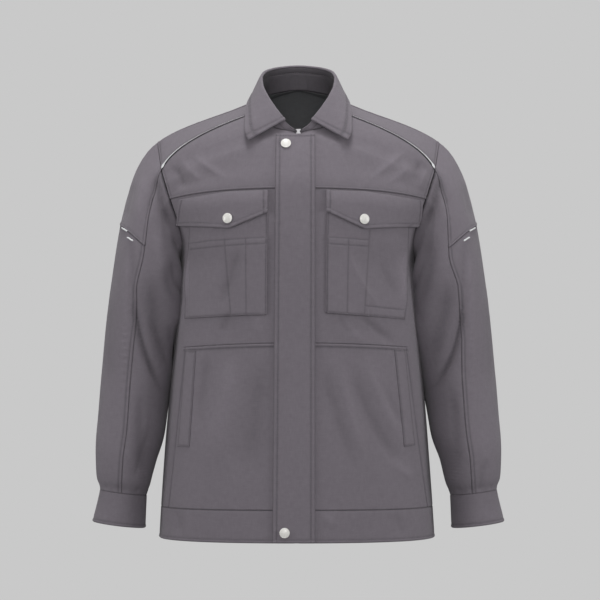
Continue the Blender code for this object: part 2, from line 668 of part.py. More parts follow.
def sleeve_columns():
    """The armhole's points in order round it, from the back seam over the ridge to the front seam,
    and from the front seam under the arm to the back seam."""
    front = armhole_shares(FRONT, row_values(FRONT_STEPS, UNDERARM))[::-1]
    back = (1 - armhole_shares(BACK, row_values(BACK_STEPS, UNDERARM)))
    over_back = back[back >= 1 - SLEEVE.back_seam - 1e-9] - 1
    over = np.concatenate([over_back[:-1], front[front <= SLEEVE.seam + 1e-9]])
    under_back = back[back <= 1 - SLEEVE.back_seam + 1e-9]
    under = np.concatenate([front[front >= SLEEVE.seam - 1e-9], under_back[1:]])
    return over, under


def sleeve_panels(side, word, cloth):
    """Cap, outer and under sleeve, and the cuff."""
    over, under = sleeve_columns()
    rows = sleeve_rows(cap_seam_along(over))
    around = np.repeat(over[None, :], len(rows), axis=0)
    faces = two_faces(SLEEVE.point(around, rows), sleeve_normals(around, rows), CLOTH, side)
    is_cap = np.repeat((np.arange(len(rows) - 1) < CAP_ROWS)[:, None], len(over) - 1, axis=1)
    wall(f"sleeve_cap_{word}", *faces, cloth, is_cap)
    wall(f"sleeve_outer_{word}", *faces, cloth, ~is_cap)
    share = (under - under[0]) / (under[-1] - under[0])
    rows = rows[:, -1:] + (rows[:, :1] - rows[:, -1:]) * share[None, :]
    around = np.repeat(under[None, :], len(rows), axis=0)
    faces = two_faces(SLEEVE.point(around, rows), sleeve_normals(around, rows), CLOTH, side)
    wall(f"sleeve_under_{word}", *faces, cloth)
    ring = np.concatenate([over, under[1:]])
    along = np.array([CUFF_TOP, CUFF_TOP + 0.5, CUFF_HEM])[:, None]
    around, along = np.broadcast_arrays(ring[None, :], along)
    faces = two_faces(SLEEVE.plain(around, along), SLEEVE.normal(around, along), DOUBLE_CLOTH, side)
    last = len(ring) - 1
    wall(f"cuff_{word}", *faces, cloth, twin=lambda i, j: (i, j % last))


# ------------------------------------------------------------------ collar
def neckline():
    """The neck edge's points from the centre front to the centre back, as the panels have them."""
    front_t = row_values(FRONT_STEPS, FRONT_NECK)
    front_s = np.where(front_t <= FRONT_NECK, FRONT_EDGE_SHARE, 0.0)
    back_t = row_values(BACK_STEPS, BACK_NECK)[::-1]
    return np.vstack([FRONT.point(front_s, front_t), BACK.point(0 * back_t, back_t)[1:]])


def collar(cloth):
    """The stand on the neck edge, and the leaf, which goes on from its top, turns over and falls."""
    foot = neckline()
    length = np.concatenate([[0], np.cumsum(np.linalg.norm(np.diff(foot, axis=0), axis=1))])
    around = length / length[-1]
    table = np.array(COLLAR, float)
    stand_top = smooth_table(table[:, 0], table[:, 1:4] * MM, around)
    up = np.array([0.0, 0.0, 0.45 * MM])
    rows = np.linspace(0, 1, STAND_ROWS + 1)[:, None, None]
    stand = foot + up + (stand_top - foot - up) * rows
    shell("collar_stand", stand, DOUBLE_CLOTH, cloth)

    around = np.concatenate([[LEAF_START], around[around > LEAF_START + 0.02]])
    top = smooth_table(table[:, 0], table[:, 1:4] * MM, around)
    edge = smooth_table(table[:, 0], table[:, 4:7] * MM, around)
    foot_there = np.array([[np.interp(a, length / length[-1], foot[:, k]) for k in range(3)] for a in around])
    rise = unit(top - foot_there)
    fall = unit(edge - top) * np.array([0.6, 0.6, 1.0]) + np.array([0, 0, -0.35])
    rows = np.linspace(0, 1, LEAF_ROWS + 1)[:, None, None] ** 1.15
    leaf = hermite(top + rise * SEAM_GAP * 2, rise * ROLL_PULL, edge, unit(fall) * FALL_PULL, rows)
    shell("collar_leaf", leaf, DOUBLE_CLOTH, cloth)


def shell(name, half, thickness, finish):
    """A wall across the whole width, from the left half's grid, whose last column is the centre back.
    It stands on the neck side of those points, or above them once it has turned over."""
    left, right = sided(half, 1), sided(half, -1)
    points = np.concatenate([left, right[:, -2::-1]], axis=1)
    across = np.gradient(points, axis=1)
    along = np.gradient(points, axis=0)
    normals = unit(np.cross(along, across))
    wall(name, points + normals * thickness, points, finish)


# ------------------------------------------------------------------ what is laid on the fronts
def front_facets(side):
    """One front's grid as it is cut, out to the centre line: points, normals and the faces' corners."""
    s, t = front_grid(side)
    s, t = np.hstack([np.zeros((len(s), 1)), s]), np.hstack([t[:, :1], t])
    points, normals = FRONT.point(s, t), FRONT.normal(s, t)
    corners = np.arange(s.size).reshape(s.shape)
    faces = []
    for i in range(s.shape[0] - 1):
        for j in range(s.shape[1] - 1):
            a, b, c, d = corners[i, j], corners[i + 1, j], corners[i + 1, j + 1], corners[i, j + 1]
            if j > 0 or t[i + 1, 0] <= FRONT_NECK:
                faces += [(a, b, c), (a, c, d)]
    return points.reshape(-1, 3), normals.reshape(-1, 3), faces


def panel_mesh(sides):
    """The front's facets as a bmesh that keeps each point's normal, with the halves joined."""
    mesh = bmesh.new()
    normal_layer = mesh.verts.layers.float_vector.new("normal")
    for side in sides:
        points, normals, faces = front_facets(side)
        flip = np.array([side, 1.0, 1.0])
        verts = []
        for point, normal in zip(points * flip, normals * flip):
            vert = mesh.verts.new(point)
            vert[normal_layer] = normal
            verts.append(vert)
        for face in faces:
            mesh.faces.new([verts[k] for k in (face if side == 1 else face[::-1])])
    if len(sides) == 2:
        bmesh.ops.remove_doubles(mesh, verts=mesh.verts, dist=1e-6)
    return mesh, normal_layer


def slice_mesh(mesh, start, end, clear):
    """Cut the facets along the front view's line from start to end, and drop what lies to its left."""
    run_x, run_z = end[0] - start[0], end[1] - start[1]
    bmesh.ops.bisect_plane(
        mesh,
        geom=mesh.verts[:] + mesh.edges[:] + mesh.faces[:],
        dist=2e-5,
        plane_co=Vector((start[0], 0, start[1])) * MM,
        plane_no=Vector((-run_z, 0, run_x)).normalized(),
        clear_outer=clear,
    )


def laid(name, side, columns, lift, thickness, finish, top_lift=None):
    """A piece cut from the front's own facets and moved off them.

    With top_lift its upper edge stays that far off, as where a flap is sewn on, and the rest is at lift.
    """
    mesh, normal_layer = panel_mesh((1, -1) if side == 0 else (side,))
    flip = -1 if side == -1 else 1
    table = [tuple(c) for c in columns]
    for a, b in zip(table[:-1], table[1:]):
        top, bottom = ((flip * a[0], a[1]), (flip * b[0], b[1])), ((flip * b[2], b[3]), (flip * a[2], a[3]))
        for start, end in (top, bottom):
            if flip == -1:
                start, end = end, start
            slice_mesh(mesh, start, end, True)
        if top_lift is not None:
            start, end = [(x, z - FLAP_STEP) for x, z in top]
            slice_mesh(mesh, start, end, False)
    for k, c in enumerate(table):
        start, end = (flip * c[2], c[3]), (flip * c[0], c[1])
        if (k == 0) != (flip == 1):
            start, end = end, start
        slice_mesh(mesh, start, end, k in (0, len(table) - 1))
    bmesh.ops.triangulate(mesh, faces=mesh.faces)
    mesh.verts.index_update()
    rows = np.array(table, float)
    outer, inner = {}, {}
    for vert in mesh.verts:
        x, z = abs(vert.co.x) / MM if side else vert.co.x / MM, vert.co.z / MM
        share = np.clip((rows[:, 1] - z) / (rows[:, 1] - rows[:, 3]), 0, 1)
        line_x = rows[:, 0] + (rows[:, 2] - rows[:, 0]) * share
        off = lift + np.interp(x, line_x, rows[:, 4]) * MM
        if top_lift is not None:
            below = np.clip((np.interp(x, rows[:, 0], rows[:, 1]) - z) / FLAP_STEP, 0, 1)
            off = top_lift + (off - top_lift) * below
        normal = unit(np.array(vert[normal_layer]))
        place = np.array(vert.co)
        inner[vert.index], outer[vert.index] = place + normal * off, place + normal * (off + thickness)
    for places in (outer, inner):
        for key in places:
            places[key] = leaned(places[key])
    faces = [[vert.index for vert in face.verts] for face in mesh.faces]
    mesh.free()
    return thicken(name, faces, outer, inner, finish)


def piping(side, word, silver):
    """The reflective piping that lies over the seam between yoke and chest."""
    trim = np.array(YOKE_PIPING, float)
    s, t = front_grid(side)
    panel = s[np.isclose(t[:, 0], PIPING)][0]
    share = np.concatenate([trim[:1, 0], panel[(panel > trim[0, 0]) & (panel < trim[-1, 0])], trim[-1:, 0]])
    half = np.interp(share, trim[:, 0], trim[:, 1]) / 2 * MM
    line = np.full(share.shape, float(PIPING))
    points = FRONT.point(panel, np.full(panel.shape, float(PIPING)))
    points = np.stack([np.interp(share, panel, points[:, k]) for k in range(3)], axis=1)
    strip(f"yoke_piping_{word}", side, points, FRONT.normal(share, line), half, silver)


def strip(name, side, points, normals, half, finish):
    """A narrow strip with a raised middle along these points."""
    across = np.cross(normals, unit(np.gradient(points, axis=0))) * half[:, None]
    edges = np.stack([points - across, points, points + across])
    crown = np.array([0.55, 1.0, 0.55])[:, None, None] * PIPING_CLOTH
    base = sided(edges + normals * PIPING_LIFT, side)
    wall(name, sided(edges + normals * (PIPING_LIFT + crown), side), base, finish)


def sleeve_dashes(side, word, silver):
    """The reflective pieces that cross the outer side of the upper arm."""
    over, _ = sleeve_columns()
    rows = sleeve_rows(cap_seam_along(over))
    grid = SLEEVE.point(np.repeat(over[None, :], len(rows), axis=0), rows)
    corners = np.arange(rows.size).reshape(rows.shape)
    faces = []
    for a, b, c, d in zip(corners[:-1, :-1].flat, corners[1:, :-1].flat, corners[1:, 1:].flat, corners[:-1, 1:].flat):
        faces += [(a, b, c), (a, c, d)]
    facets = BVHTree.FromPolygons([Vector(p) for p in grid.reshape(-1, 3)], faces)
    along = np.linspace(0, 2, 300)
    for dash in SLEEVE_DASHES:
        around = np.linspace(dash.from_around, dash.to_around, DASH_STEPS)
        height = np.linspace(dash.from_z, dash.to_z, DASH_STEPS) * MM
        heights = SLEEVE.plain(around[:, None], along[None, :])[..., 2]
        at = np.array([np.interp(-w, -h, along) for w, h in zip(height, heights)])
        points = np.array([facets.find_nearest(Vector(p))[0] for p in SLEEVE.point(around, at)])
        half = np.full(DASH_STEPS, dash.width / 2 * MM)
        strip(f"{dash.name}_{word}", side, points, SLEEVE.normal(around, at), half, silver)


# ------------------------------------------------------------------ hard trim
def snap_cap(snap, finish):
    """A round snap cap, turned from its profile and set on the piece below it."""
    side = 1 if snap.x > 0 else -1
    points, _, faces = front_facets(side)
    facets = BVHTree.FromPolygons([Vector(p) for p in points], faces)
    hit = facets.ray_cast(Vector((abs(snap.x) * MM, -1, snap.z * MM)), Vector((0, 1, 0)))[0]
    normal = FRONT.normal(*FRONT.find(abs(snap.x) * MM, snap.z * MM))
    centre = sided(np.array(hit) + normal * (snap.lift + 1.5 * SEAM_GAP), side)
    normal = normal * np.array([side, 1, 1])
    right = unit(np.cross(normal, np.array([0, 0, 1.0])))
    above = np.cross(right, normal)
    mesh = bmesh.new()
    rings = []
    for radius, height in SNAP_PROFILE:
        middle = centre + normal * height * MM
        if radius == 0:
            rings.append([mesh.verts.new(middle)])
            continue
        turns = np.linspace(0, 2 * math.pi, SNAP_SIDES, endpoint=False)
        rings.append([mesh.verts.new(middle + (right * math.cos(a) + above * math.sin(a)) * radius * MM)
                      for a in turns])
    for low, high in zip(rings[:-1], rings[1:]):
        for k in range(SNAP_SIDES):
            nxt = (k + 1) % SNAP_SIDES
            if len(low) == 1:
                mesh.faces.new([low[0], high[k], high[nxt]])
            elif len(high) == 1:
                mesh.faces.new([low[k], low[nxt], high[0]])
            else:
                mesh.faces.new([low[k], low[nxt], high[nxt], high[k]])
    solid(f"snap_{snap.name}", mesh, finish)


def zip_parts(tape_cloth, metal):
    """The two tapes behind the front edges, and the slider at the top of the closed zip."""
    for side, word in ((1, "left"), (-1, "right")):
        lift = -(CLOTH + ZIP_TAPE_CLOTH + 1.5 * SEAM_GAP)
        laid(f"zip_tape_{word}", side, ZIP_TAPE, lift, ZIP_TAPE_CLOTH, tape_cloth)
    height, half_width = np.array(SLIDER_OUTLINE).T * MM
    x, z = np.stack([-half_width, half_width], axis=1), np.stack([height, height], axis=1)
    faces = [np.stack([x, np.full(x.shape, y * MM), z], axis=-1) for y in (SLIDER_FRONT, SLIDER_BACK)]
    wall("zip_slider", *faces, metal)


def build():
    for old in list(bpy.data.objects):
        bpy.data.objects.remove(old, do_unlink=True)
    cloth = material("cloth", CLOTH_GREY, 0.8)
    tape = material("zip_tape", INSIDE_GREY, 0.8)
    silver = material("reflective_piping", SILVER, 0.35)
    cap = material("snap_cap", CAP_WHITE, 0.3)
    for side, word in ((1, "left"), (-1, "right")):
        front_panels(side, word, cloth)
        sleeve_panels(side, word, cloth)
        laid(f"chest_pocket_{word}", side, POCKETS[side], POCKET_LIFT, POCKET_CLOTH, cloth)
        laid(f"flap_{word}", side, FLAPS[side], FLAP_LIFT, FLAP_CLOTH, cloth, LAID_GAP)
        laid(f"welt_{word}", side, WELTS[side], WELT_LIFT, WELT_CLOTH, cloth)
        piping(side, word, silver)
        sleeve_dashes(side, word, silver)
    back_panels(cloth)
    collar(cloth)
    laid("placket", 0, PLACKET, PLACKET_LIFT, PLACKET_CLOTH, cloth)
    for snap in SNAPS:
        snap_cap(snap, cap)
    zip_parts(tape, cap)


build()
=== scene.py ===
"""The looks of a grey work jacket with reflective piping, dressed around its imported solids.

Metres, +Z up. The front faces -Y and the wearer's left arm is on +X. Every cloth piece is a wall
worked out on the same surfaces as its solid, on a much finer grid, with its creases, seams, pads and
topstitching. A surface is a function of two parameters: a share along a row and the row, for the
body, and the way round the arm and the way down it, for a sleeve.
"""

from __future__ import annotations

import logging
import math
import sys
from collections.abc import Callable, Iterable
from dataclasses import dataclass, field, replace
from enum import Enum
from typing import NamedTuple

import bpy
import numpy as np
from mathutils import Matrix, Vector

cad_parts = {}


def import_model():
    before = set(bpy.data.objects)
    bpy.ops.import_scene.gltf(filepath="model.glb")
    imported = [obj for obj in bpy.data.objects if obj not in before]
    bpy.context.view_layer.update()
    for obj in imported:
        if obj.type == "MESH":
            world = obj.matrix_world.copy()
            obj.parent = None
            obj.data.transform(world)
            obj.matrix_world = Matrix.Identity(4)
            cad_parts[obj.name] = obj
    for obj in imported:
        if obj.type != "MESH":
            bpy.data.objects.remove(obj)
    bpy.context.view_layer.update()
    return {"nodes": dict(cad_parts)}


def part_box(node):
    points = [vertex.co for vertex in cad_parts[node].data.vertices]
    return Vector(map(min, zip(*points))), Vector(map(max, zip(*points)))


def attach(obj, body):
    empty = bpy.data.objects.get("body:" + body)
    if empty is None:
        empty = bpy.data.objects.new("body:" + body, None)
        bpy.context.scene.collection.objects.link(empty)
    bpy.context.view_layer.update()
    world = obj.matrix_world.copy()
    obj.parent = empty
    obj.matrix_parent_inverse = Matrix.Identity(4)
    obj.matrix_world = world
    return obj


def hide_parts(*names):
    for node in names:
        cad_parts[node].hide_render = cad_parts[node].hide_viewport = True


Array = np.ndarray
Place = Callable[[Array, Array], tuple[Array, Array]]  # points and normals from arrays of u and v
Share = Callable[[Array], Array]
Pair = tuple[float, float]
Path = tuple[Array, Array]  # points and normals

log = logging.getLogger("work_jacket")

MM = 0.001
BODY = "root"
BOTH_SIDES = ((1, "left"), (-1, "right"))

CLOTH = 1.6 * MM  # a single panel
DOUBLE_CLOTH = 2.2 * MM  # collar and cuffs, two layers pressed together
SEAM_GAP = 0.3 * MM
LEAN = -3.5 * MM  # how far the closed front pulls the hem to the wearer's right
LEAN_DEPTH = 0.69
LEAN_END, LEAN_FADE = 0.24, 0.03  # the lean is gone this far out, and fades over this width


# ---------------- curves
def unit(vectors: Array) -> Array:
    """Vectors of length one along the last axis."""
    return vectors / np.maximum(np.linalg.norm(vectors, axis=-1, keepdims=True), 1e-12)


def between(low: float | Array, high: float | Array, share: float | Array) -> float | Array:
    """The value at a share of the way from low to high."""
    return low + (high - low) * share


def ramp(value: Array, low: float, high: float) -> Array:
    """A smooth step from 0 at low to 1 at high."""
    share = np.clip((value - low) / (high - low), 0, 1)
    return share * share * (3 - 2 * share)


def bump(value: Array, half_width: float) -> Array:
    """A bell curve, 1 at zero and 0.37 at half_width."""
    return np.exp(-((value / half_width) ** 2))


def rounded(value: Array) -> Array:
    """A quarter of a round: 0 at zero, rising steeply and then levelling off at 1."""
    return 1 - np.clip(1 - value, 0, 1) ** 2


def waves(value: Array, parts: Iterable[tuple[float, float, float]]) -> Array:
    """A sum of sines, each part of which is its length, its start and its weight."""
    return sum(weight * np.sin(value / length + start) for length, start, weight in parts)


def lengths(line: Array) -> Array:
    """How far along a line of points each of them is."""
    return np.concatenate([[0], np.cumsum(np.linalg.norm(np.diff(line, axis=0), axis=1))])


def read_table(at: Array, knots: Array, table: Array) -> Array:
    """A table's columns at these values of its knots, by straight lines, in a new last axis."""
    return np.stack([np.interp(at, knots, column) for column in table.T], axis=-1)


def arrays(*values: Array | float) -> list[Array]:
    """Numbers and arrays as floats in one shape."""
    return np.broadcast_arrays(*(np.asarray(value, float) for value in values))


def hermite(start: Array, pull_start: Array, end: Array, pull_end: Array, u: Array) -> Array:
    """The cubic from start to end with these pulls at its two ends.

    Args:
        start: Where it starts.
        pull_start: The pull there.
        end: Where it ends.
        pull_end: The pull there.
        u: The share of the way.

    Returns:
        The points.
    """
    return (
        (2 * u**3 - 3 * u**2 + 1) * start
        + (u**3 - 2 * u**2 + u) * pull_start
        + (3 * u**2 - 2 * u**3) * end
        + (u**3 - u**2) * pull_end
    )


def smooth_table(knots: Array, values: Array, at: Array) -> Array:
    """Interpolate a table's columns by cubics that never overshoot them.

    The slope at each knot is the weighted harmonic mean of the slopes on its two sides, or zero
    where they differ in sign.

    Args:
        knots: Where each row of the table holds, rising.
        values: The table.
        at: Where it is wanted.

    Returns:
        The rows there, in a new last axis.
    """
    knots, values, at = np.asarray(knots, float), np.asarray(values, float), np.asarray(at, float)
    step = np.diff(knots)[:, None]
    slope = np.diff(values, axis=0) / step
    before, after = slope[:-1], slope[1:]
    w_before, w_after = 2 * step[1:] + step[:-1], step[1:] + 2 * step[:-1]
    same = before * after > 0
    safe_before, safe_after = np.where(same, before, 1.0), np.where(same, after, 1.0)
    middle = (w_before + w_after) / (w_before / safe_before + w_after / safe_after)
    tangent = np.vstack([slope[:1], np.where(same, middle, 0.0), slope[-1:]])
    i = np.clip(np.searchsorted(knots, at, side="right") - 1, 0, len(knots) - 2)
    h = step[i, 0][..., None]
    u = ((at - knots[i]) / (knots[i + 1] - knots[i]))[..., None]
    return hermite(values[i], tangent[i] * h, values[i + 1], tangent[i + 1] * h, u)


def normals_of(
    surface: Callable[[Array, Array], Array], u: Array, v: Array, near: float, ends_u: Pair, ends_v: Pair
) -> Array:
    """A surface's normals from differences: along u crossed into along v.

    Args:
        surface: The surface's points.
        u: Its first parameter.
        v: Its second.
        near: How far to each side the differences reach.
        ends_u: Where u starts and ends.
        ends_v: Where v does.

    Returns:
        The normals.
    """
    du = surface(np.clip(u + near, *ends_u), v) - surface(np.clip(u - near, *ends_u), v)
    dv = surface(u, np.clip(v + near, *ends_v)) - surface(u, np.clip(v - near, *ends_v))
    return unit(np.cross(du, dv))


def leaned(points: Array) -> Array:
    """Points moved with the body's lean, which grows downwards and fades out over the sleeves.

    Args:
        points: The points.

    Returns:
        The moved points, in a new array.
    """
    share = np.clip(-points[..., 2] / LEAN_DEPTH, 0, 1)
    near = np.clip((LEAN_END - np.abs(points[..., 0])) / LEAN_FADE, 0, 1)
    moved = points.copy()
    moved[..., 0] += LEAN * share * near
    return moved


# ---------------- creases
CREASE_POINTS = 33
CREASE_BELLS = ((0.55, 1.0), (0.45, 0.45))  # each bell curve's share of the depth and of the half width
CREASE_REACH = 4.5  # half widths, past which a crease is nothing
CREASE_FADE = (-0.02, 0.34)  # the shares of its length over which it fades in
LIP_AWAY, LIP_WIDTH = 2.0, 1.3  # a lip's distance from its crease, and its own half width, in half widths


class View(Enum):
    """The side of the jacket on which a crease is drawn. Its value is the sign of the y it faces."""

    FRONT = -1
    BACK = 1


class Crease(NamedTuple):
    """A soft trough through three points of the front or back view, in millimetres.

    A negative depth makes a ridge. A lip is a ridge beside it, to its left as it runs, or to its
    right where it is negative.
    """

    x0: float
    z0: float
    x1: float
    z1: float
    x2: float
    z2: float
    half_width: float
    depth: float
    lip: float = 0.0


def crease_depth(creases: Iterable[Crease], x: Array, z: Array) -> Array:
    """How far creases press the cloth in.

    Each crease is a quadratic curve through its three points. Its depth is a wide and a narrow bell
    curve of the distance from it, and fades along it towards both ends.

    Args:
        creases: One view's creases.
        x: Points of the view, in metres.
        z: Their height.

    Returns:
        The depth, positive inwards.
    """
    total = np.zeros(np.shape(x))
    share = np.linspace(0, 1, CREASE_POINTS)
    u = share[:, None]
    for c in creases:
        start, middle, end = np.array(c[:6], float).reshape(3, 2)
        control = 2 * middle - (start + end) / 2
        line = ((1 - u) ** 2 * start + 2 * u * (1 - u) * control + u**2 * end) * MM
        half_width = c.half_width * MM
        low, high = line.min(0) - CREASE_REACH * half_width, line.max(0) + CREASE_REACH * half_width
        near = (x > low[0]) & (x < high[0]) & (z > low[1]) & (z < high[1])
        if not near.any():
            continue
        off_x, off_z = x[near][:, None] - line[:, 0], z[near][:, None] - line[:, 1]
        squared = off_x**2 + off_z**2
        closest = squared.argmin(1)
        pick = np.arange(len(closest))
        run = unit(np.gradient(line, axis=0))[closest]
        side = np.sign(run[:, 0] * off_z[pick, closest] - run[:, 1] * off_x[pick, closest])
        distance = np.sqrt(squared[pick, closest])
        fade = ramp(share[closest], *CREASE_FADE) * ramp(1 - share[closest], *CREASE_FADE)
        shape = sum(part * bump(distance, wide * half_width) for part, wide in CREASE_BELLS)
        if c.lip:
            away = side * math.copysign(1, c.lip) * distance - LIP_AWAY * half_width
            shape = shape - abs(c.lip) * bump(away, LIP_WIDTH * half_width)
        total[near] += c.depth * MM * shape * fade
    return total


# ---------------- the body's rows, in millimetres
class Row(NamedTuple):
    """A row of half the body: its start, its end, and the curve's pull at its start and end."""

    name: str
    x0: float
    y0: float
    z0: float
    x1: float
    y1: float
    z1: float
    ax: float
    ay: float
    az: float
    bx: float
    by: float
    bz: float


FRONT_ROWS = [
    Row("hem", 0, -146, -691, 220, 0, -691, 400, 0, 0, 0, 300, 0),
    Row("band", 0, -145, -640, 217, 0, -641, 398, 0, 0, 0, 298, 0),
    Row("hip", 0, -143, -540, 210, 0, -541, 388, 0, 0, 0, 292, 0),
    Row("waist", 0, -140, -380, 197.5, 1, -390, 370, 0, 0, 0, 286, 0),
    Row("pocket", 0, -141, -320, 193.5, 3, -330, 366, 0, 0, 0, 280, 0),
    Row("underarm", 0, -142, -262, 190, 5, -268, 362, 0, 0, 10, 262, -14),
    Row("low", 0, -141, -212, 183.5, -45, -222, 330, 0, 0, 62, 178, -18),
    Row("chest", 0, -136, -139, 202, -58, -154, 330, 0, 0, 110, 112, -26),
    Row("upper", 0, -121, -92, 205.5, -56, -144, 300, -14, -20, 112, 96, -52),
    Row("neck", 0, -98, -52, 209.5, -52, -131, 260, -62, -38, 110, 92, -74),
    Row("collarbone", 38, -90, -42, 213.5, -46, -119, 205, -28, -45, 96, 54, -100),
    Row("piping", 66, -52, -15, 217, -38, -106.5, 150, -34, -58, 62, 34, -132),
    Row("ridge", 78, 0, 1, 226, 5, -61, 148, 2, -66, 118, 0, -84),
]

BACK_ROWS = [
    Row("hem", 0, 132, -691, 220, 0, -691, 396, 0, 0, 0, -272, 0),
    Row("band", 0, 131, -640, 217, 0, -641, 394, 0, 0, 0, -270, 0),
    Row("hip", 0, 127, -540, 210, 0, -541, 384, 0, 0, 0, -262, 0),
    Row("waist", 0, 121, -380, 197.5, 1, -390, 366, 0, 0, 0, -248, 0),
    Row("pocket", 0, 123, -320, 193.5, 3, -330, 362, 0, 0, 0, -248, 0),
    Row("underarm", 0, 127, -262, 190, 5, -268, 358, 0, 0, 10, -236, -14),
    Row("low", 0, 131, -205, 189, 54, -222, 330, 0, 0, 70, -150, -18),
    Row("chest", 0, 131, -140, 200, 74, -160, 330, 0, 0, 112, -96, -30),
    Row("upper", 0, 123, -80, 208, 70, -130, 300, 8, -20, 116, -84, -60),
    Row("neck", 0, 102, -20, 214, 58, -107, 262, 20, -34, 112, -76, -90),
    Row("nape", 0, 72, 28, 219, 42, -88, 232, 22, -44, 102, -54, -106),
    Row("shoulder", 50, 60, 18, 223, 24, -73, 176, 12, -72, 106, -24, -100),
    Row("ridge", 78, 0, 1, 226, 5, -61, 148, 2, -66, 118, 0, -84),
]

UNDERARM = 5  # the row, in both tables, where the side seam ends and the armhole starts
FRONT_NECK = 9  # the front's row that starts at the top of the centre front
PIPING = 11
CHEST = 7
WAIST = 3
BAND = 1
BACK_NECK = 10
LAST = 12
FRONT_EDGE_SHARE = 3.4 * MM / 0.36  # where a front's edge is on its rows, beside the zip
SIDE_SEAM_AT_HEM = {1: 0.82, -1: 0.765}
SIDE_SEAM_AT_WAIST = {1: 0.665, -1: 0.70}

# The body's creases. x grows towards the wearer's left, and z is below the neck.
BODY_CREASES = {
    View.FRONT: [
        # chest, on the wearer's right and left
        Crease(-168, -82, -140, -105, -104, -127, 8, -2.4),
        Crease(-190, -85, -167, -112, -146, -128, 9, -2.0),
        Crease(-197, -100, -187, -120, -181, -140, 10, 4.0),
        Crease(172, -78, 144, -99, 108, -130, 9, -2.6),
        Crease(180, -100, 160, -116, 138, -132, 10, -2.0),
        Crease(196, -92, 188, -112, 189, -134, 8, 2.8),
        Crease(205, -104, 197, -123, 195, -142, 5, -2.0),
        # chest pockets
        Crease(-92, -234, -102, -276, -122, -330, 14, 3.4),
        Crease(126, -248, 140, -280, 156, -312, 12, 2.4),
        Crease(78, -232, 96, -280, 138, -334, 8, -1.6),
        Crease(150, -226, 158, -262, 164, -300, 9, -1.6),
        # between the pockets and the waist seam
        Crease(-104, -330, -112, -348, -126, -362, 10, 2.8),
        Crease(-66, -334, -62, -350, -66, -370, 14, -1.8),
        Crease(70, -340, 86, -362, 108, -386, 9, -2.2),
        Crease(60, -338, 74, -352, 86, -370, 9, 2.2),
        Crease(94, -336, 122, -358, 160, -386, 10, 3.6),
        # the sides, beside the sleeves
        Crease(-179, -226, -175, -268, -178, -322, 8, -4.5),
        Crease(170, -222, 165, -280, 172, -346, 8, -4.5),
        # lower fronts
        Crease(-104, -396, -116, -480, -146, -580, 22, -3.4),
        Crease(-139, -394, -147, -453, -158, -520, 10, 3.2),
        Crease(-56, -400, -66, -500, -84, -600, 26, 3.6),
        Crease(42, -410, 60, -496, 98, -588, 16, 3.0),
        Crease(66, -396, 80, -476, 110, -572, 12, -2.4),
        Crease(82, -400, 114, -500, 176, -584, 18, 3.4),
        Crease(104, -394, 132, -470, 170, -540, 12, -2.0),
        Crease(150, -560, 166, -580, 184, -598, 12, -1.6),
        Crease(130, -440, 150, -482, 166, -512, 10, 1.8),
        # hem band
        Crease(-192, -638, -186, -660, -188, -686, 9, 1.8),
        Crease(40, -644, 52, -656, 62, -668, 12, -1.4),
        Crease(150, -646, 160, -664, 166, -688, 14, 1.4),
    ],
    View.BACK: [
        Crease(-186, -96, -150, -142, -92, -188, 21, 3.6, 0.2),
        Crease(188, -92, 156, -150, 108, -204, 20, 3.4, -0.2),
        Crease(-176, -150, -152, -226, -146, -300, 14, 3.8),
        Crease(178, -158, 158, -240, 150, -330, 15, 4.1),
        Crease(-30, -60, -62, -78, -110, -84, 22, 1.2),
        Crease(34, -58, 70, -76, 122, -82, 20, 1.1),
        Crease(-8, -140, 4, -240, -6, -352, 30, 2.9),
        Crease(-150, -372, -118, -452, -104, -560, 20, 3.4),
        Crease(-70, -420, -58, -520, -66, -618, 18, -2.2),
        Crease(60, -404, 48, -508, 56, -616, 19, 2.4),
        Crease(152, -382, 124, -470, 116, -580, 18, 3.1),
        Crease(104, -300, 128, -352, 168, -388, 14, -2.2),
        Crease(-112, -312, -138, -362, -172, -402, 14, 2.3),
    ],
}

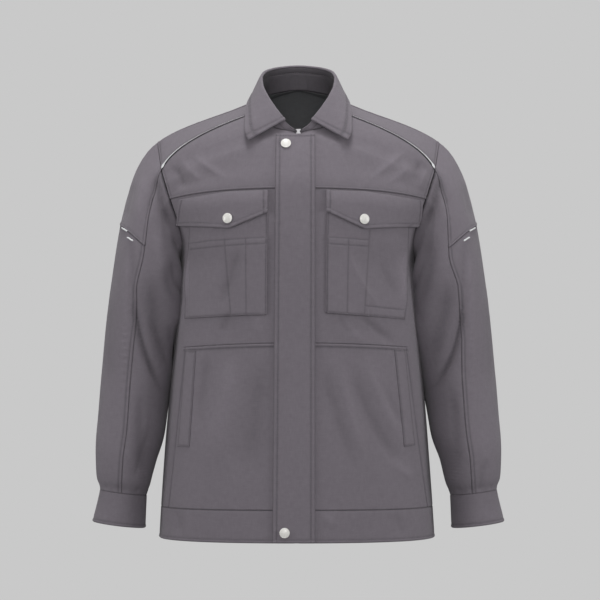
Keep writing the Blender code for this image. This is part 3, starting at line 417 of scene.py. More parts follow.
# How the two sleeves' inner sides differ, in both views.
INNER_SIDES = (
    Crease(203, -440, 216, -530, 234, -600, 16, 1.1),
    Crease(-206, -480, -218, -545, -235, -600, 16, -0.7),
)
SLEEVE_CREASES = {
    View.FRONT: [
        # the wearer's right sleeve: beside the armhole, then down the arm
        Crease(-226, -108, -215, -158, -199, -216, 12, 8.0),
        Crease(-204, -216, -197, -223, -190, -232, 5, 3.0),
        Crease(-226, -200, -222, -238, -214, -272, 9, -3.0),
        Crease(-212, -246, -208, -286, -193, -316, 6, 5.0, -0.3),
        Crease(-207, -342, -203, -380, -196, -428, 9, 6.0),
        Crease(-264, -224, -263, -262, -259, -312, 5, 3.0),
        Crease(-259, -292, -246, -389, -207, -472, 7, 8.0),
        Crease(-232, -270, -228, -350, -206, -436, 20, 5.0),
        Crease(-240, -338, -226, -376, -203, -444, 6, 3.0),
        Crease(-246, -440, -249, -534, -243, -610, 15, 3.8),
        Crease(-270, -240, -273, -330, -275, -520, 7, -2.7),
        Crease(-219, -104, -231, -146, -241, -190, 9, 3.0),
        Crease(-262, -122, -270, -156, -276, -196, 10, 2.6),
        Crease(-244, -112, -252, -150, -256, -196, 8, -2.0),
        Crease(-298, -300, -300, -384, -298, -470, 14, 2.4),
        Crease(-232, -500, -246, -560, -262, -600, 9, 2.4),
        *INNER_SIDES,
        # the wearer's left sleeve
        Crease(176, -278, 184, -315, 200, -356, 9, 6.0),
        Crease(224, -110, 214, -156, 199, -216, 12, 8.0),
        Crease(217, -204, 209, -268, 191, -334, 9, 5.0, 0.3),
        Crease(264, -224, 261, -262, 257, -308, 5, 3.0),
        Crease(257, -292, 248, -388, 203, -469, 7, 8.0),
        Crease(234, -280, 229, -350, 206, -434, 19, 4.4),
        Crease(238, -440, 247, -524, 245, -608, 15, 3.8),
        Crease(271, -240, 273, -330, 275, -505, 7, -2.8),
        Crease(214, -108, 229, -142, 240, -180, 9, 2.8),
        Crease(262, -126, 270, -158, 278, -192, 10, 2.4),
        Crease(300, -300, 303, -384, 301, -470, 14, 2.2),
        Crease(300, -560, 290, -590, 284, -618, 9, 2.2),
    ],
    View.BACK: [
        *INNER_SIDES,
        Crease(-296, -300, -262, -362, -214, -404, 11, 5.3, 0.3),
        Crease(-300, -376, -272, -420, -226, -446, 10, 4.1, 0.3),
        Crease(-236, -160, -252, -224, -248, -292, 11, 3),
        Crease(-290, -450, -272, -524, -276, -604, 11, 2.5),
        Crease(294, -306, 258, -358, 214, -396, 11, 5.1, -0.3),
        Crease(302, -384, 268, -426, 228, -452, 10, 4.4, -0.3),
        Crease(238, -156, 254, -226, 250, -300, 11, 3.2),
        Crease(292, -456, 276, -530, 280, -602, 11, 2.3),
    ],
}


NEAR = 1e-3  # how far apart in share the points of a difference are
FIND_NEAR, FIND_STEPS = 1e-4, 22
CALM_SHARE = 0.06  # over how much of a row's end its creases fade out
FINE_ROWS = np.linspace(UNDERARM, LAST, 400)


class BodySurface:
    """Half of the front or of the back, as a function of the share along a row and of the row.

    Each row is a cubic from its start to its end, and the rows' ends and pulls are interpolated.
    """

    def __init__(self, rows: list[Row], view: View) -> None:
        """Keep the rows as a table in metres.

        Args:
            rows: The rows, upwards.
            view: The side of the jacket.
        """
        self.knots = np.arange(len(rows), dtype=float)
        self.table = np.array([row[1:] for row in rows], float) * MM
        self.view = view

    def plain(self, s: Array, t: Array) -> Array:
        """The uncreased surface of the left half.

        Args:
            s: The share along the row.
            t: The row.

        Returns:
            The points.
        """
        s, t = arrays(s, t)
        row = smooth_table(self.knots, self.table, t)
        return hermite(row[..., 0:3], row[..., 6:9], row[..., 3:6], row[..., 9:12], s[..., None])

    def normal(self, s: Array, t: Array) -> Array:
        """The uncreased surface's outward normals on the left half."""
        return normals_of(self.plain, s, t, NEAR, (0, 1), (0, LAST)) * -self.view.value

    def worn(self, s: Array, t: Array, side: Array | int) -> Path:
        """Put the surface on one side of the jacket, with its creases calmed at the armhole.

        Args:
            s: The share along the row.
            t: The row.
            side: 1 for the wearer's left and -1 for the right.

        Returns:
            Points and outward normals.
        """
        points, normals = self.plain(s, t), self.normal(s, t)
        flip = np.stack(np.broadcast_arrays(side, 1.0, 1.0), axis=-1) * np.ones(points.shape)
        points, normals = points * flip, normals * flip
        calm = np.clip(np.minimum(1 - s, (LAST - t) / 2) / CALM_SHARE, 0, 1)
        press = crease_depth(BODY_CREASES[self.view], points[..., 0], points[..., 2]) * calm
        return leaned(points - normals * press[..., None]), normals

    def find(self, x: Array, z: Array) -> tuple[Array, Array]:
        """Find which of the left half's points is seen at (x, z), by Newton's method in short steps.

        Args:
            x: The distance from the middle.
            z: The height.

        Returns:
            The shares and the rows.
        """
        x, z = arrays(x, z)
        s, t = np.full(x.shape, 0.4), np.full(x.shape, float(UNDERARM))
        for _ in range(FIND_STEPS):
            here = self.plain(s, t)
            ds = (self.plain(s + FIND_NEAR, t) - here) / FIND_NEAR
            dt = (self.plain(s, t + FIND_NEAR) - here) / FIND_NEAR
            off_x, off_z = x - here[..., 0], z - here[..., 2]
            det = ds[..., 0] * dt[..., 2] - dt[..., 0] * ds[..., 2]
            det = np.where(np.abs(det) < 1e-9, 1e-9, det)
            step_s = (off_x * dt[..., 2] - dt[..., 0] * off_z) / det
            step_t = (ds[..., 0] * off_z - off_x * ds[..., 2]) / det
            s = np.clip(s + np.clip(step_s, -0.2, 0.2), 0, 1)
            t = np.clip(t + np.clip(step_t, -1, 1), 0, LAST)
        return s, t


FRONT = BodySurface(FRONT_ROWS, View.FRONT)
BACK = BodySurface(BACK_ROWS, View.BACK)


def armhole_shares(surface: BodySurface, rows: Array) -> Array:
    """How far round its half of the armhole each row's end is: 0 at the ridge, 0.5 at the underarm."""
    length = lengths(surface.plain(np.ones(len(FINE_ROWS)), FINE_ROWS))
    return 0.5 * (1 - np.interp(rows, FINE_ROWS, length) / length[-1])


# ---------------- the sleeve's rings, in millimetres
class Ring(NamedTuple):
    """An oval round the arm, through its outline's outer and inner points seen from the front."""

    name: str
    x_out: float
    z_out: float
    x_in: float
    z_in: float
    y_mid: float
    half_depth: float


SLEEVE_RINGS = [
    Ring("biceps", 298.8, -280, 193.2, -300, 8, 80),
    Ring("upper", 308.7, -352, 198.2, -370, 4, 72),
    Ring("elbow", 315, -430, 203.8, -446, -1, 64),
    Ring("fore", 321.2, -512, 211.8, -524, -9.5, 61),
    Ring("lower", 323.2, -560, 226, -570, -17, 55),
    Ring("wrist", 321, -596, 235, -604, -20, 49),
    Ring("cuff_top", 316.3, -614, 241.5, -623, -19.5, 43),
    Ring("cuff_hem", 328, -665, 243.8, -675.5, -20, 44),
]
CUFF_TOP = 7  # the sleeve runs from 0 at the armhole, through ring "biceps" at 1, to the cuff at 7
CUFF_HEM = 8
SLEEVE_SEAM_ANGLE = 83  # degrees from the outer side of the arm to its front and back seams
SWAY_ALONG = (0.0, 0.1, 0.22, 0.45, 0.75, 1.03, 1.4, 2.0, 3.0, 4.35, 6.3, 8.0)
SWAY = {  # how far round each arm the front seam bows there
    1: (0.0, 0.016, 0.032, 0.0325, 0.029, 0.0005, 0.002, 0.0055, 0.019, 0.026, 0.036, 0.036),
    -1: (0.0, 0.016, 0.032, 0.027, 0.0127, -0.0076, -0.002, 0.004, 0.003, 0.009, 0.016, 0.016),
}
CAP_OUTER_Z = -193.5 * MM
CAP_SEAM_Z = -225 * MM
CAP_PULL = 0.79


class Leave(NamedTuple):
    """The direction in which the sleeve leaves the armhole, at a share of the way round it."""

    around: float
    x: float
    y: float
    z: float


SLEEVE_LEAVES = [
    Leave(0.00, 0.82, 0.00, -0.58),
    Leave(0.12, 0.74, -0.36, -0.57),
    Leave(0.25, 0.64, -0.50, -0.58),
    Leave(0.40, 0.56, -0.34, -0.76),
    Leave(0.46, 0.66, -0.16, -0.74),
    Leave(0.50, 0.70, 0.00, -0.71),
    Leave(0.54, 0.66, 0.16, -0.74),
    Leave(0.60, 0.56, 0.34, -0.76),
    Leave(0.75, 0.64, 0.50, -0.58),
    Leave(0.88, 0.74, 0.36, -0.57),
    Leave(1.00, 0.82, 0.00, -0.58),
]


class Swell(NamedTuple):
    """A swelling of the sleeve towards the body, where the two touch.

    It is a bell curve of the angle round the arm, in degrees, and holds between two ramps down it.
    """

    depth: float
    angle: float
    half_angle: float
    starts: float
    full: float
    fades: float
    gone: float


SWELLS = (
    Swell(20 * MM, 142, 34, 0.1, 0.85, 1.6, 3.6),
    Swell(10 * MM, 212, 26, 0.25, 1.0, 2.6, 4.2),
    Swell(1.8 * MM, 145, 28, -1.0, 0.0, 0.0, 0.3),
)
SWELL_FORWARD = 0.35  # how much of a swell goes forwards or back
GATHER = 0.55 * MM
GATHER_WAVES = ((1 / 9, 0.6, 1.0), (1 / 14, 2.1, 0.7), (1 / 23, 0.0, 0.5))
GATHER_ROWS = (CUFF_TOP - 0.9, CUFF_TOP - 0.12)
SLEEVE_CALM, CUFF_CALM = 0.12, 0.3  # over how much of its length its creases fade, at its top and cuff


class SleeveSurface:
    """The sleeve: around is 0 at the ridge, 0.5 at the underarm by way of the front, and 1.

    Above ring 1 it is a cubic from each armhole point to the ring. Below, it is an oval through the
    ring's outer and inner points, with each ring's numbers interpolated down the arm.
    """

    def __init__(self) -> None:
        """Work out the rings' middles and radii, and the armhole's shares."""
        rings = np.array([ring[1:] for ring in SLEEVE_RINGS], float) * MM
        outer, inner = rings[:, [0, 4, 1]], rings[:, [2, 4, 3]]
        self.rings = np.hstack([(outer + inner) / 2, (outer - inner) / 2, rings[:, 5:6]])
        self.leaves = np.array(SLEEVE_LEAVES, float)
        self.front_shares = armhole_shares(FRONT, FINE_ROWS)
        self.back_shares = 1 - armhole_shares(BACK, FINE_ROWS)
        self.seam = float(armhole_shares(FRONT, np.array([PIPING]))[0])
        self.back_seam = float(armhole_shares(BACK, np.array([BACK_NECK]))[0])
        turn = SLEEVE_SEAM_ANGLE
        self.angles = (
            [-self.back_seam, 0, self.seam, 0.5, 1 - self.back_seam, 1, 1 + self.seam],
            np.radians([-turn, 0, turn, 180, 360 - turn, 360, 360 + turn])[:, None],
        )

    def angle(self, around: Array) -> Array:
        """The angle round the arm, from its outer side, at a share of the way round."""
        return smooth_table(*self.angles, around)[..., 0]

    def armhole(self, around: Array) -> Array:
        """The armhole's points.

        Args:
            around: The share of the way round it.

        Returns:
            The points.
        """
        around = np.mod(around, 1.0)
        in_front = around <= 0.5
        front_row = np.interp(-around, -self.front_shares, FINE_ROWS)
        back_row = np.interp(around, self.back_shares, FINE_ROWS)
        row = np.where(in_front, front_row, back_row)
        ones = np.ones(around.shape)
        return np.where(in_front[..., None], FRONT.plain(ones, row), BACK.plain(ones, row))

    def ring(self, around: Array, along: Array) -> Array:
        """The oval at each way down the sleeve, with the rings' numbers interpolated.

        Args:
            around: The share of the way round the arm.
            along: How far down the sleeve.

        Returns:
            The points.
        """
        ring = smooth_table(np.arange(1, len(self.rings) + 1), self.rings, np.maximum(along, 1))
        angle = self.angle(around)
        points = ring[..., 0:3] + np.cos(angle)[..., None] * ring[..., 3:6]
        points[..., 1] -= np.sin(angle) * ring[..., 6]
        return points

    def plain(self, around: Array, along: Array) -> Array:
        """The uncreased left sleeve.

        Args:
            around: The share of the way round the arm.
            along: How far down the sleeve.

        Returns:
            The points.
        """
        around, along = arrays(around, along)
        start, end = self.armhole(around), self.ring(around, np.ones(around.shape))
        reach = np.linalg.norm(end - start, axis=-1, keepdims=True)
        leave = unit(smooth_table(self.leaves[:, 0], self.leaves[:, 1:], np.mod(around, 1.0)))
        onward = unit(self.ring(around, np.full(around.shape, 1.05)) - end)
        share = np.clip(along, 0, 1)[..., None]
        cap = hermite(start, leave * reach * CAP_PULL, end, onward * reach, share)
        return np.where((along < 1)[..., None], cap, self.ring(around, along))

    def normal(self, around: Array, along: Array) -> Array:
        """The uncreased left sleeve's outward normals."""
        return normals_of(self.plain, around, along, 2 * NEAR, (-math.inf, math.inf), (0, CUFF_HEM))

    def hug(self, around: Array, along: Array) -> Array:
        """Add up how far the cloth swells towards the body.

        Args:
            around: The share of the way round the arm.
            along: How far down the sleeve.

        Returns:
            The distance.
        """
        degrees = np.degrees(self.angle(around)) % 360
        return sum(
            swell.depth
            * bump(degrees - swell.angle, swell.half_angle)
            * ramp(along, swell.starts, swell.full)
            * (1 - ramp(along, swell.fades, swell.gone))
            for swell in SWELLS
        )

    def gathers(self, around: Array, along: Array) -> Array:
        """Small waves round the arm, where it is gathered into the cuff."""
        return GATHER * waves(self.angle(around), GATHER_WAVES) * ramp(along, *GATHER_ROWS)

    def worn(self, around: Array, along: Array, side: int) -> Path:
        """Put the sleeve on one side, with its creases.

        Args:
            around: The share of the way round the arm.
            along: How far down the sleeve.
            side: 1 for the wearer's left sleeve and -1 for the right.

        Returns:
            Points and outward normals.
        """
        flip = np.array([side, 1.0, 1.0])
        points, normals = self.plain(around, along) * flip, self.normal(around, along) * flip
        press = self.gathers(around, along)
        for view, creases in SLEEVE_CREASES.items():
            facing = ramp(normals[..., 1] * view.value, -0.35, 0.15)
            press = press + crease_depth(creases, points[..., 0], points[..., 2]) * facing
        calm = np.clip(along / SLEEVE_CALM, 0, 1) * np.clip((CUFF_TOP - along) / CUFF_CALM, 0, 1)
        points = points - normals * (press * calm)[..., None]
        swell = self.hug(around, along)
        points[..., 0] -= side * swell
        points[..., 1] -= SWELL_FORWARD * swell * np.sign(0.5 - np.mod(around, 1.0))
        return leaned(points), normals

    def level_with(self, around: Array, heights: Array, reach: int, count: int) -> Array:
        """How far down the plain sleeve each of these heights is.

        Args:
            around: The shares of the way round the arm.
            heights: The height wanted at each.
            reach: The last ring that is looked at.
            count: How many places are looked at.

        Returns:
            The nearest place for each.
        """
        along = np.linspace(0, reach, count)
        found = self.plain(around[:, None], along[None, :])[..., 2]
        return along[np.abs(found - heights[:, None]).argmin(1)]


SLEEVE = SleeveSurface()


# ---------------- panels
class Rim(Enum):
    """The four edges of a panel's grid."""

    LEFT = "u=0"
    RIGHT = "u=1"
    LOW = "v=0"
    HIGH = "v=1"


UPRIGHT, LEVEL = (Rim.LEFT, Rim.RIGHT), (Rim.LOW, Rim.HIGH)


@dataclass(frozen=True)
class Edge:
    """How an edge of a panel is finished. Sizes in metres.

    Attributes:
        roll: How far the face turns in at the very edge.
        reach: How far from the edge it starts to turn.
        rows: Each topstitch row's distance from the edge.
        pad: How much the turned-in cloth lifts the face between the edge and its stitches.
        turned: From where to where along the edge it is turned in, as shares.
        stitched: From where to where it is stitched.
        shade: How much painted shade darkens the edge, beside other seams.
    """

    roll: float = 0.9 * MM
    reach: float = 1.9 * MM
    rows: tuple[float, ...] = ()
    pad: float = 0.0
    turned: Pair = (0.0, 1.0)
    stitched: Pair = (0.0, 1.0)
    shade: float = 1.0


SEWN = Edge()
TOPSTITCHED = Edge(roll=1.0 * MM, rows=(4.6 * MM,), pad=1.15 * MM, shade=0.8)
TUCKED = Edge(roll=0.7 * MM, reach=1.6 * MM)
HEMMED = Edge(roll=1.1 * MM, reach=2.0 * MM, rows=(4.8 * MM,), pad=0.6 * MM, shade=0.5)
TURNED = Edge(roll=1.0 * MM, reach=2.2 * MM, rows=(6.4 * MM,), pad=0.9 * MM, shade=0.15)
EDGE_STITCHED = Edge(roll=0.8 * MM, reach=1.5 * MM, rows=(2.0 * MM,), pad=0.35 * MM, shade=0.2)
OPEN = Edge(roll=0.0, reach=1.0 * MM)

GROOVE = 0.6 * MM  # how far a row of stitches presses the cloth in
GROOVE_WIDTH = 1.15 * MM
PUCKER, PUCKER_WIDTH = 0.1 * MM, 3.2 * MM
PUCKER_WAVES = ((1.55 * MM, 0.0, 1.0), (2.4 * MM, 1.3, 1.0), (4.1 * MM, 0.0, 0.8))
PAD_RISE, PAD_FALL = 1.2 * MM, (-0.5 * MM, 1.6 * MM)  # from the edge, and past its last stitches
COARSE = np.linspace(0, 1, 25)  # the shares at which a surface is measured
EDGE_NEAR = 4e-3  # how far apart in share an edge's speed is measured
CLOSEST_LINES = 0.18 * MM


def edged(left: Edge | None, right: Edge | None, low: Edge | None, high: Edge | None) -> dict[Rim, Edge]:
    """The finish of a panel's edges, without those that are open."""
    return {rim: edge for rim, edge in zip(Rim, (left, right, low, high)) if edge}


@dataclass
class Patch:
    """A grid of points on a surface, with its lines closer together beside its edges.

    Attributes:
        points: The points, rows by columns by three.
        normals: Their outward normals.
        away: Each point's distance from each edge.
        cut: Each point's place on the flat cloth, in metres.
    """

    points: Array
    normals: Array
    away: dict[Rim, Array]
    cut: Array = field(init=False)

    def __post_init__(self) -> None:
        """Measure along the grid's rows and columns from the middle."""
        across = np.linalg.norm(np.diff(self.points, axis=1), axis=2)
        along = np.linalg.norm(np.diff(self.points, axis=0), axis=2)
        u = np.hstack([np.zeros((len(across), 1)), np.cumsum(across, axis=1)])
        v = np.vstack([np.zeros((1, along.shape[1])), np.cumsum(along, axis=0)])
        middle_u, middle_v = u.shape[1] // 2, v.shape[0] // 2
        self.cut = np.stack([u - u[:, middle_u : middle_u + 1], v - v[middle_v : middle_v + 1]], axis=2)

    def without_last_column(self) -> Patch:
        """The same grid without its last column, which lies on its first."""
        away = {rim: far[:, :-1] for rim, far in self.away.items()}
        return Patch(self.points[:, :-1], self.normals[:, :-1], away)

    def flat_size(self) -> tuple[float, float, float]:
        """Measure the flat cloth.

        Returns:
            The cut's width, length and area in square metres.
        """
        width, length = np.ptp(self.cut[..., 0], axis=1).max(), np.ptp(self.cut[..., 1], axis=0).max()
        p = self.points
        diagonal, other = p[1:, 1:] - p[:-1, :-1], p[1:, :-1] - p[:-1, 1:]
        area = np.linalg.norm(np.cross(diagonal, other), axis=2).sum() / 2
        return float(width), float(length), float(min(area, width * length))


def near_lines(edge: Edge) -> Array:
    """Where a panel's grid has lines beside an edge: closest at its turn and at its stitches.

    Args:
        edge: The edge's finish.

    Returns:
        The lines' distances from the edge.
    """
    lines = {share * edge.reach for share in (0.0, 0.25, 0.5, 0.75, 1.0)}
    for row in edge.rows:
        lines |= {row + k * GROOVE_WIDTH * 0.6 for k in (-2, -1, 0, 1, 2)}
    ordered = sorted(lines)
    kept = [a for a, b in zip(ordered, ordered[1:] + [1.0]) if b - a > CLOSEST_LINES or a in edge.rows]
    return np.array(kept)


def grid_lines(low: Array, high: Array, inner: int, low_speed: Array, high_speed: Array) -> Array:
    """Space a grid's lines: at fixed distances beside the edges, and evenly between.

    Args:
        low: The distances of the lines beside the first edge.
        high: The same beside the last.
        inner: How many lines lie between those.
        low_speed: Metres for each unit of share at the first edge, for each crossing line.
        high_speed: The same at the last.

    Returns:
        The lines' shares, one row for each crossing line.
    """
    start = low[None, :] / low_speed[:, None]
    end = 1 - high[::-1][None, :] / high_speed[:, None]
    share = np.arange(1, inner + 1)[None, :] / (inner + 1)
    return np.hstack([start, between(start[:, -1:], end[:, :1], share), end])


def edge_speeds(place: Place, across: Array) -> tuple[Array, Array]:
    """Metres for each unit of share at a surface's first and last u, from differences.

    Args:
        place: The surface.
        across: The values of v at which it is measured.

    Returns:
        The speeds at the first u, and at the last.
    """
    speeds = []
    for u in (0.0, 1 - EDGE_NEAR):
        at = np.full(across.shape, u)
        step = place(at + EDGE_NEAR, across)[0] - place(at, across)[0]
        speeds.append(np.linalg.norm(step, axis=-1) / EDGE_NEAR)
    return speeds[0], speeds[1]


def lay_patch(place: Place, edges: dict[Rim, Edge], step: float, knots: tuple[float, ...] = ()) -> Patch:
    """Lay a grid on a surface.

    Args:
        place: The surface: points and normals from arrays of u and v, each from 0 to 1.
        edges: The finish of its edges; one that isn't named is open.
        step: About how far apart lines are away from the edges.
        knots: Values of u at which there has to be a line.

    Returns:
        The grid.
    """

    def turned_place(v: Array, u: Array) -> Path:
        """The same surface with its two parameters exchanged."""
        return place(u, v)

    rims = {rim: near_lines(edges.get(rim, OPEN)) for rim in Rim}
    grid_v, grid_u = np.meshgrid(COARSE, COARSE, indexing="ij")
    sample = place(grid_u, grid_v)[0]
    width = np.linalg.norm(np.diff(sample, axis=1), axis=2).sum(1)
    length = np.linalg.norm(np.diff(sample, axis=0), axis=2).sum(0)
    across = max(2, math.ceil(width.max() / step))
    down = max(2, math.ceil(length.max() / step))
    middle = edge_speeds(turned_place, np.full(1, 0.5))
    v_row = grid_lines(rims[Rim.LOW], rims[Rim.HIGH], down, *middle)[0]
    left, right = edge_speeds(place, v_row)
    u = grid_lines(rims[Rim.LEFT], rims[Rim.RIGHT], across, left, right)
    for knot in knots:
        at = u[:, [np.abs(u.mean(0) - knot).argmin()]]
        u = np.where(u <= at, u * knot / at, 1 - (1 - u) * (1 - knot) / (1 - at))
    low, high = edge_speeds(turned_place, u.mean(0))
    v = grid_lines(rims[Rim.LOW], rims[Rim.HIGH], down, low, high).T
    points, normals = place(u, v)
    away = (u * left[:, None], (1 - u) * right[:, None], v * low[None, :], (1 - v) * high[None, :])
    return Patch(points, normals, dict(zip(Rim, away)))


def within(share: Array, span: Pair) -> Array:
    """A mask along an edge.

    Args:
        share: The shares of the edge's length.
        span: Where the mask starts and ends, with short ramps inside it but not at the edge's ends.

    Returns:
        1 in the span and 0 outside it.
    """
    low, high = span
    rise = 1.0 if low <= 0 else ramp(share, low, low + 0.015)
    return rise * (1.0 if high >= 1 else 1 - ramp(share, high - 0.015, high))


def edge_relief(patch: Patch, edges: dict[Rim, Edge]) -> tuple[Array, Array]:
    """How the edges' finish lifts or presses the face, and how much painted shade it gets along its seams.

    At an edge the face turns in on a parabola, with painted shade where it turns. A pad fades out past its
    stitches.
    Each row of stitches is a groove with a bell-shaped section and painted shade along it, and small waves
    run along a stitched seam.

    Args:
        patch: The grid.
        edges: The finish of its edges.

    Returns:
        The relief in metres, positive outwards, and the painted seam shade from 0 to 1.
    """
    relief = np.zeros(patch.points.shape[:2])
    seam = np.zeros(relief.shape)
    for rim, edge in edges.items():
        away = patch.away[rim]
        upright = rim in UPRIGHT
        share = np.linspace(0, 1, away.shape[0])[:, None] if upright else np.linspace(0, 1, away.shape[1])
        turn = np.clip(1 - away / edge.reach, 0, 1) * within(share, edge.turned)
        relief -= edge.roll * turn**2
        # painted shade where the edge turns in, standing in for the shade in the seam
        seam = np.maximum(seam, edge.shade * turn**1.2 * (edge.roll > 0))
        if not edge.rows:
            continue
        run = patch.cut[..., 1 if upright else 0]
        sewn = within(share, edge.stitched)
        last = max(edge.rows)
        pad = (1 - ramp(away, last + PAD_FALL[0], last + PAD_FALL[1])) * ramp(away, 0, PAD_RISE)
        relief += edge.pad * pad * sewn
        relief += PUCKER * waves(run, PUCKER_WAVES) * bump(away - last, PUCKER_WIDTH) * sewn
        for row in edge.rows:
            groove = bump(away - row, GROOVE_WIDTH) * sewn
            relief -= GROOVE * groove
            # painted shade along the stitches' groove
            seam = np.maximum(seam, groove)
    return relief, seam


# ---------------- meshes
class Slot(Enum):
    """The parts of a wall. The face has the first finish, and the back and the rim the second."""

    FACE = 0
    BACK = 1
    RIM = 2


SEAMLESS = 0.05  # a share of seam below which a rim goes on in another piece, with no roll


def linked(name: str, data: bpy.types.ID) -> bpy.types.Object:
    """Put a new object in the scene, at the origin.

    Args:
        name: Its name.
        data: Its mesh, light or camera.

    Returns:
        The object.
    """
    made = bpy.data.objects.new(name, data)
    bpy.context.scene.collection.objects.link(made)
    return made


def grid_faces(rows: int, columns: int, wrap: bool) -> Array:
    """The cells of a grid.

    Args:
        rows: How many rows of points it has.
        columns: How many columns.
        wrap: Whether its last column meets its first.

    Returns:
        The four corners of each cell.
    """
    cells = np.arange(rows * columns).reshape(rows, columns)
    if wrap:
        cells = np.hstack([cells, cells[:, :1]])
    corners = (cells[:-1, :-1], cells[:-1, 1:], cells[1:, 1:], cells[1:, :-1])
    return np.stack([c.ravel() for c in corners], axis=1)


@dataclass
class Shell:
    """A closed mesh with what its material reads: the flat cloth's plan and the painted shade of seams and
    creases.
    """

    verts: Array
    faces: Array
    uv: Array
    seam: Array
    slots: Array
    triangles: Array = field(default_factory=lambda: np.empty((0, 3), int))

    @classmethod
    def joined(cls, shells: list[Shell]) -> Shell:
        """Several shells as one mesh, unwelded.

        Args:
            shells: The shells, of four-sided faces only.

        Returns:
            The one shell.
        """
        start = np.cumsum([0] + [len(s.verts) for s in shells[:-1]])
        return cls(
            np.vstack([s.verts for s in shells]),
            np.vstack([s.faces + n for s, n in zip(shells, start)]),
            np.vstack([s.uv for s in shells]),
            np.concatenate([s.seam for s in shells]),
            np.concatenate([s.slots for s in shells]),
        )

    @classmethod
    def plain(cls, verts: Array, faces: Array) -> Shell:
        """A shell in one finish, without seams or a plan."""
        return cls(verts, faces, np.zeros((len(verts), 2)), np.zeros(len(verts)), np.zeros(len(faces)))

    def build(self, name: str) -> bpy.types.Object:
        """Make the object, smooth but for the rims of faces that go on in another piece.

        Args:
            name: Its name.

        Returns:
            The object.
        """
        mesh = bpy.data.meshes.new(name)
        mesh.from_pydata(self.verts.tolist(), [], self.faces.tolist() + self.triangles.tolist())
        layer = mesh.uv_layers.new(name="Cut")
        corner = np.empty(len(mesh.loops), np.int32)
        mesh.loops.foreach_get("vertex_index", corner)
        layer.data.foreach_set("uv", self.uv[corner].astype(np.float32).ravel())
        # painted shade along seams and in crease troughs, and painted highlight on crease ridges
        attribute = mesh.attributes.new("seam", "FLOAT", "POINT")
        attribute.data.foreach_set("value", self.seam.astype(np.float32))
        slots = np.concatenate([np.minimum(self.slots, 1), np.zeros(len(self.triangles))])
        mesh.polygons.foreach_set("material_index", slots.astype(np.int32))
        mesh.update()
        mesh.shade_smooth()
        on_rim = np.zeros(len(self.verts), bool)
        on_rim[self.faces[self.slots == Slot.RIM.value].ravel()] = True
        on_rim &= self.seam < SEAMLESS
        ends = np.empty(2 * len(mesh.edges), np.int32)
        mesh.edges.foreach_get("vertices", ends)
        sharp = mesh.attributes.new("sharp_edge", "BOOLEAN", "EDGE")
        sharp.data.foreach_set("value", on_rim[ends.reshape(-1, 2)].all(1))
        return linked(name, mesh)


def wall(outer: Array, inner: Array, normals: Array, cut: Array, seam: Array, wrap: bool = False) -> Shell:
    """A closed wall between two grids, with its faces turned outwards.

    The rim joins each edge that only one face of the grid has.

    Args:
        outer: The outer face's points.
        inner: The inner face's points.
        normals: The outer face's normals.
        cut: The points' places on the flat cloth.
        seam: The points' painted shade along seams and in creases.
        wrap: Whether the last column meets the first.

    Returns:
        The shell.
    """
    rows, columns = outer.shape[:2]
    count = rows * columns
    faces = grid_faces(rows, columns, wrap)
    i, j = rows // 2, columns // 2
    across, down = outer[i, j + 1] - outer[i, j], outer[i + 1, j] - outer[i, j]
    if np.dot(np.cross(across, down), normals[i, j]) < 0:
        faces = faces[:, ::-1]
    start, end = faces, np.roll(faces, -1, axis=1)
    lone = ~np.isin(start * count + end, end * count + start)
    a, b = start[lone], end[lone]
    rim = np.stack([b, a, a + count, b + count], axis=1)
    return Shell(
        np.vstack([outer.reshape(-1, 3), inner.reshape(-1, 3)]),
        np.vstack([faces, faces[:, ::-1] + count, rim]),
        np.tile(cut.reshape(-1, 2), (2, 1)),
        np.tile(seam.ravel(), 2),
        np.repeat([slot.value for slot in Slot], [len(faces), len(faces), len(rim)]),
    )


def turned(rings: Array, poles: Array) -> Shell:
    """Rings of points joined in order and closed with a fan at each end, with faces outwards.

    Args:
        rings: The points, one row for each ring.
        poles: The two end points.

    Returns:
        The shell.
    """
    count, n = rings.shape[:2]
    verts = np.vstack([rings.reshape(-1, 3), poles])
    faces = grid_faces(count, n, True)
    k = np.arange(n)
    after = (k + 1) % n
    last = (count - 1) * n
    low = np.stack([after, k, np.full(n, count * n)], axis=1)
    high = np.stack([k + last, after + last, np.full(n, count * n + 1)], axis=1)
    fans = np.vstack([low, high])
    every = np.vstack([faces[:, :3], faces[:, [0, 2, 3]], fans])
    a, b, c = (verts[every[:, i]] - verts.mean(0) for i in range(3))
    if (np.cross(a, b) * c).sum() < 0:
        faces, fans = faces[:, ::-1], fans[:, ::-1]
    shell = Shell.plain(verts, faces)
    shell.triangles = fans
    return shell


# ---------------- stitches
STITCH = 2.9 * MM
STITCH_PITCH = 3.6 * MM
THREAD = 0.55 * MM  # how far a stitch dips, and nearly its thickness
THREAD_REACH = 0.6 * THREAD  # from its middle to its corners
STITCH_SECTIONS = ((-0.5, 0.45, -0.35), (-0.28, 1.0, 0.12), (0.28, 1.0, 0.12), (0.5, 0.45, -0.35))


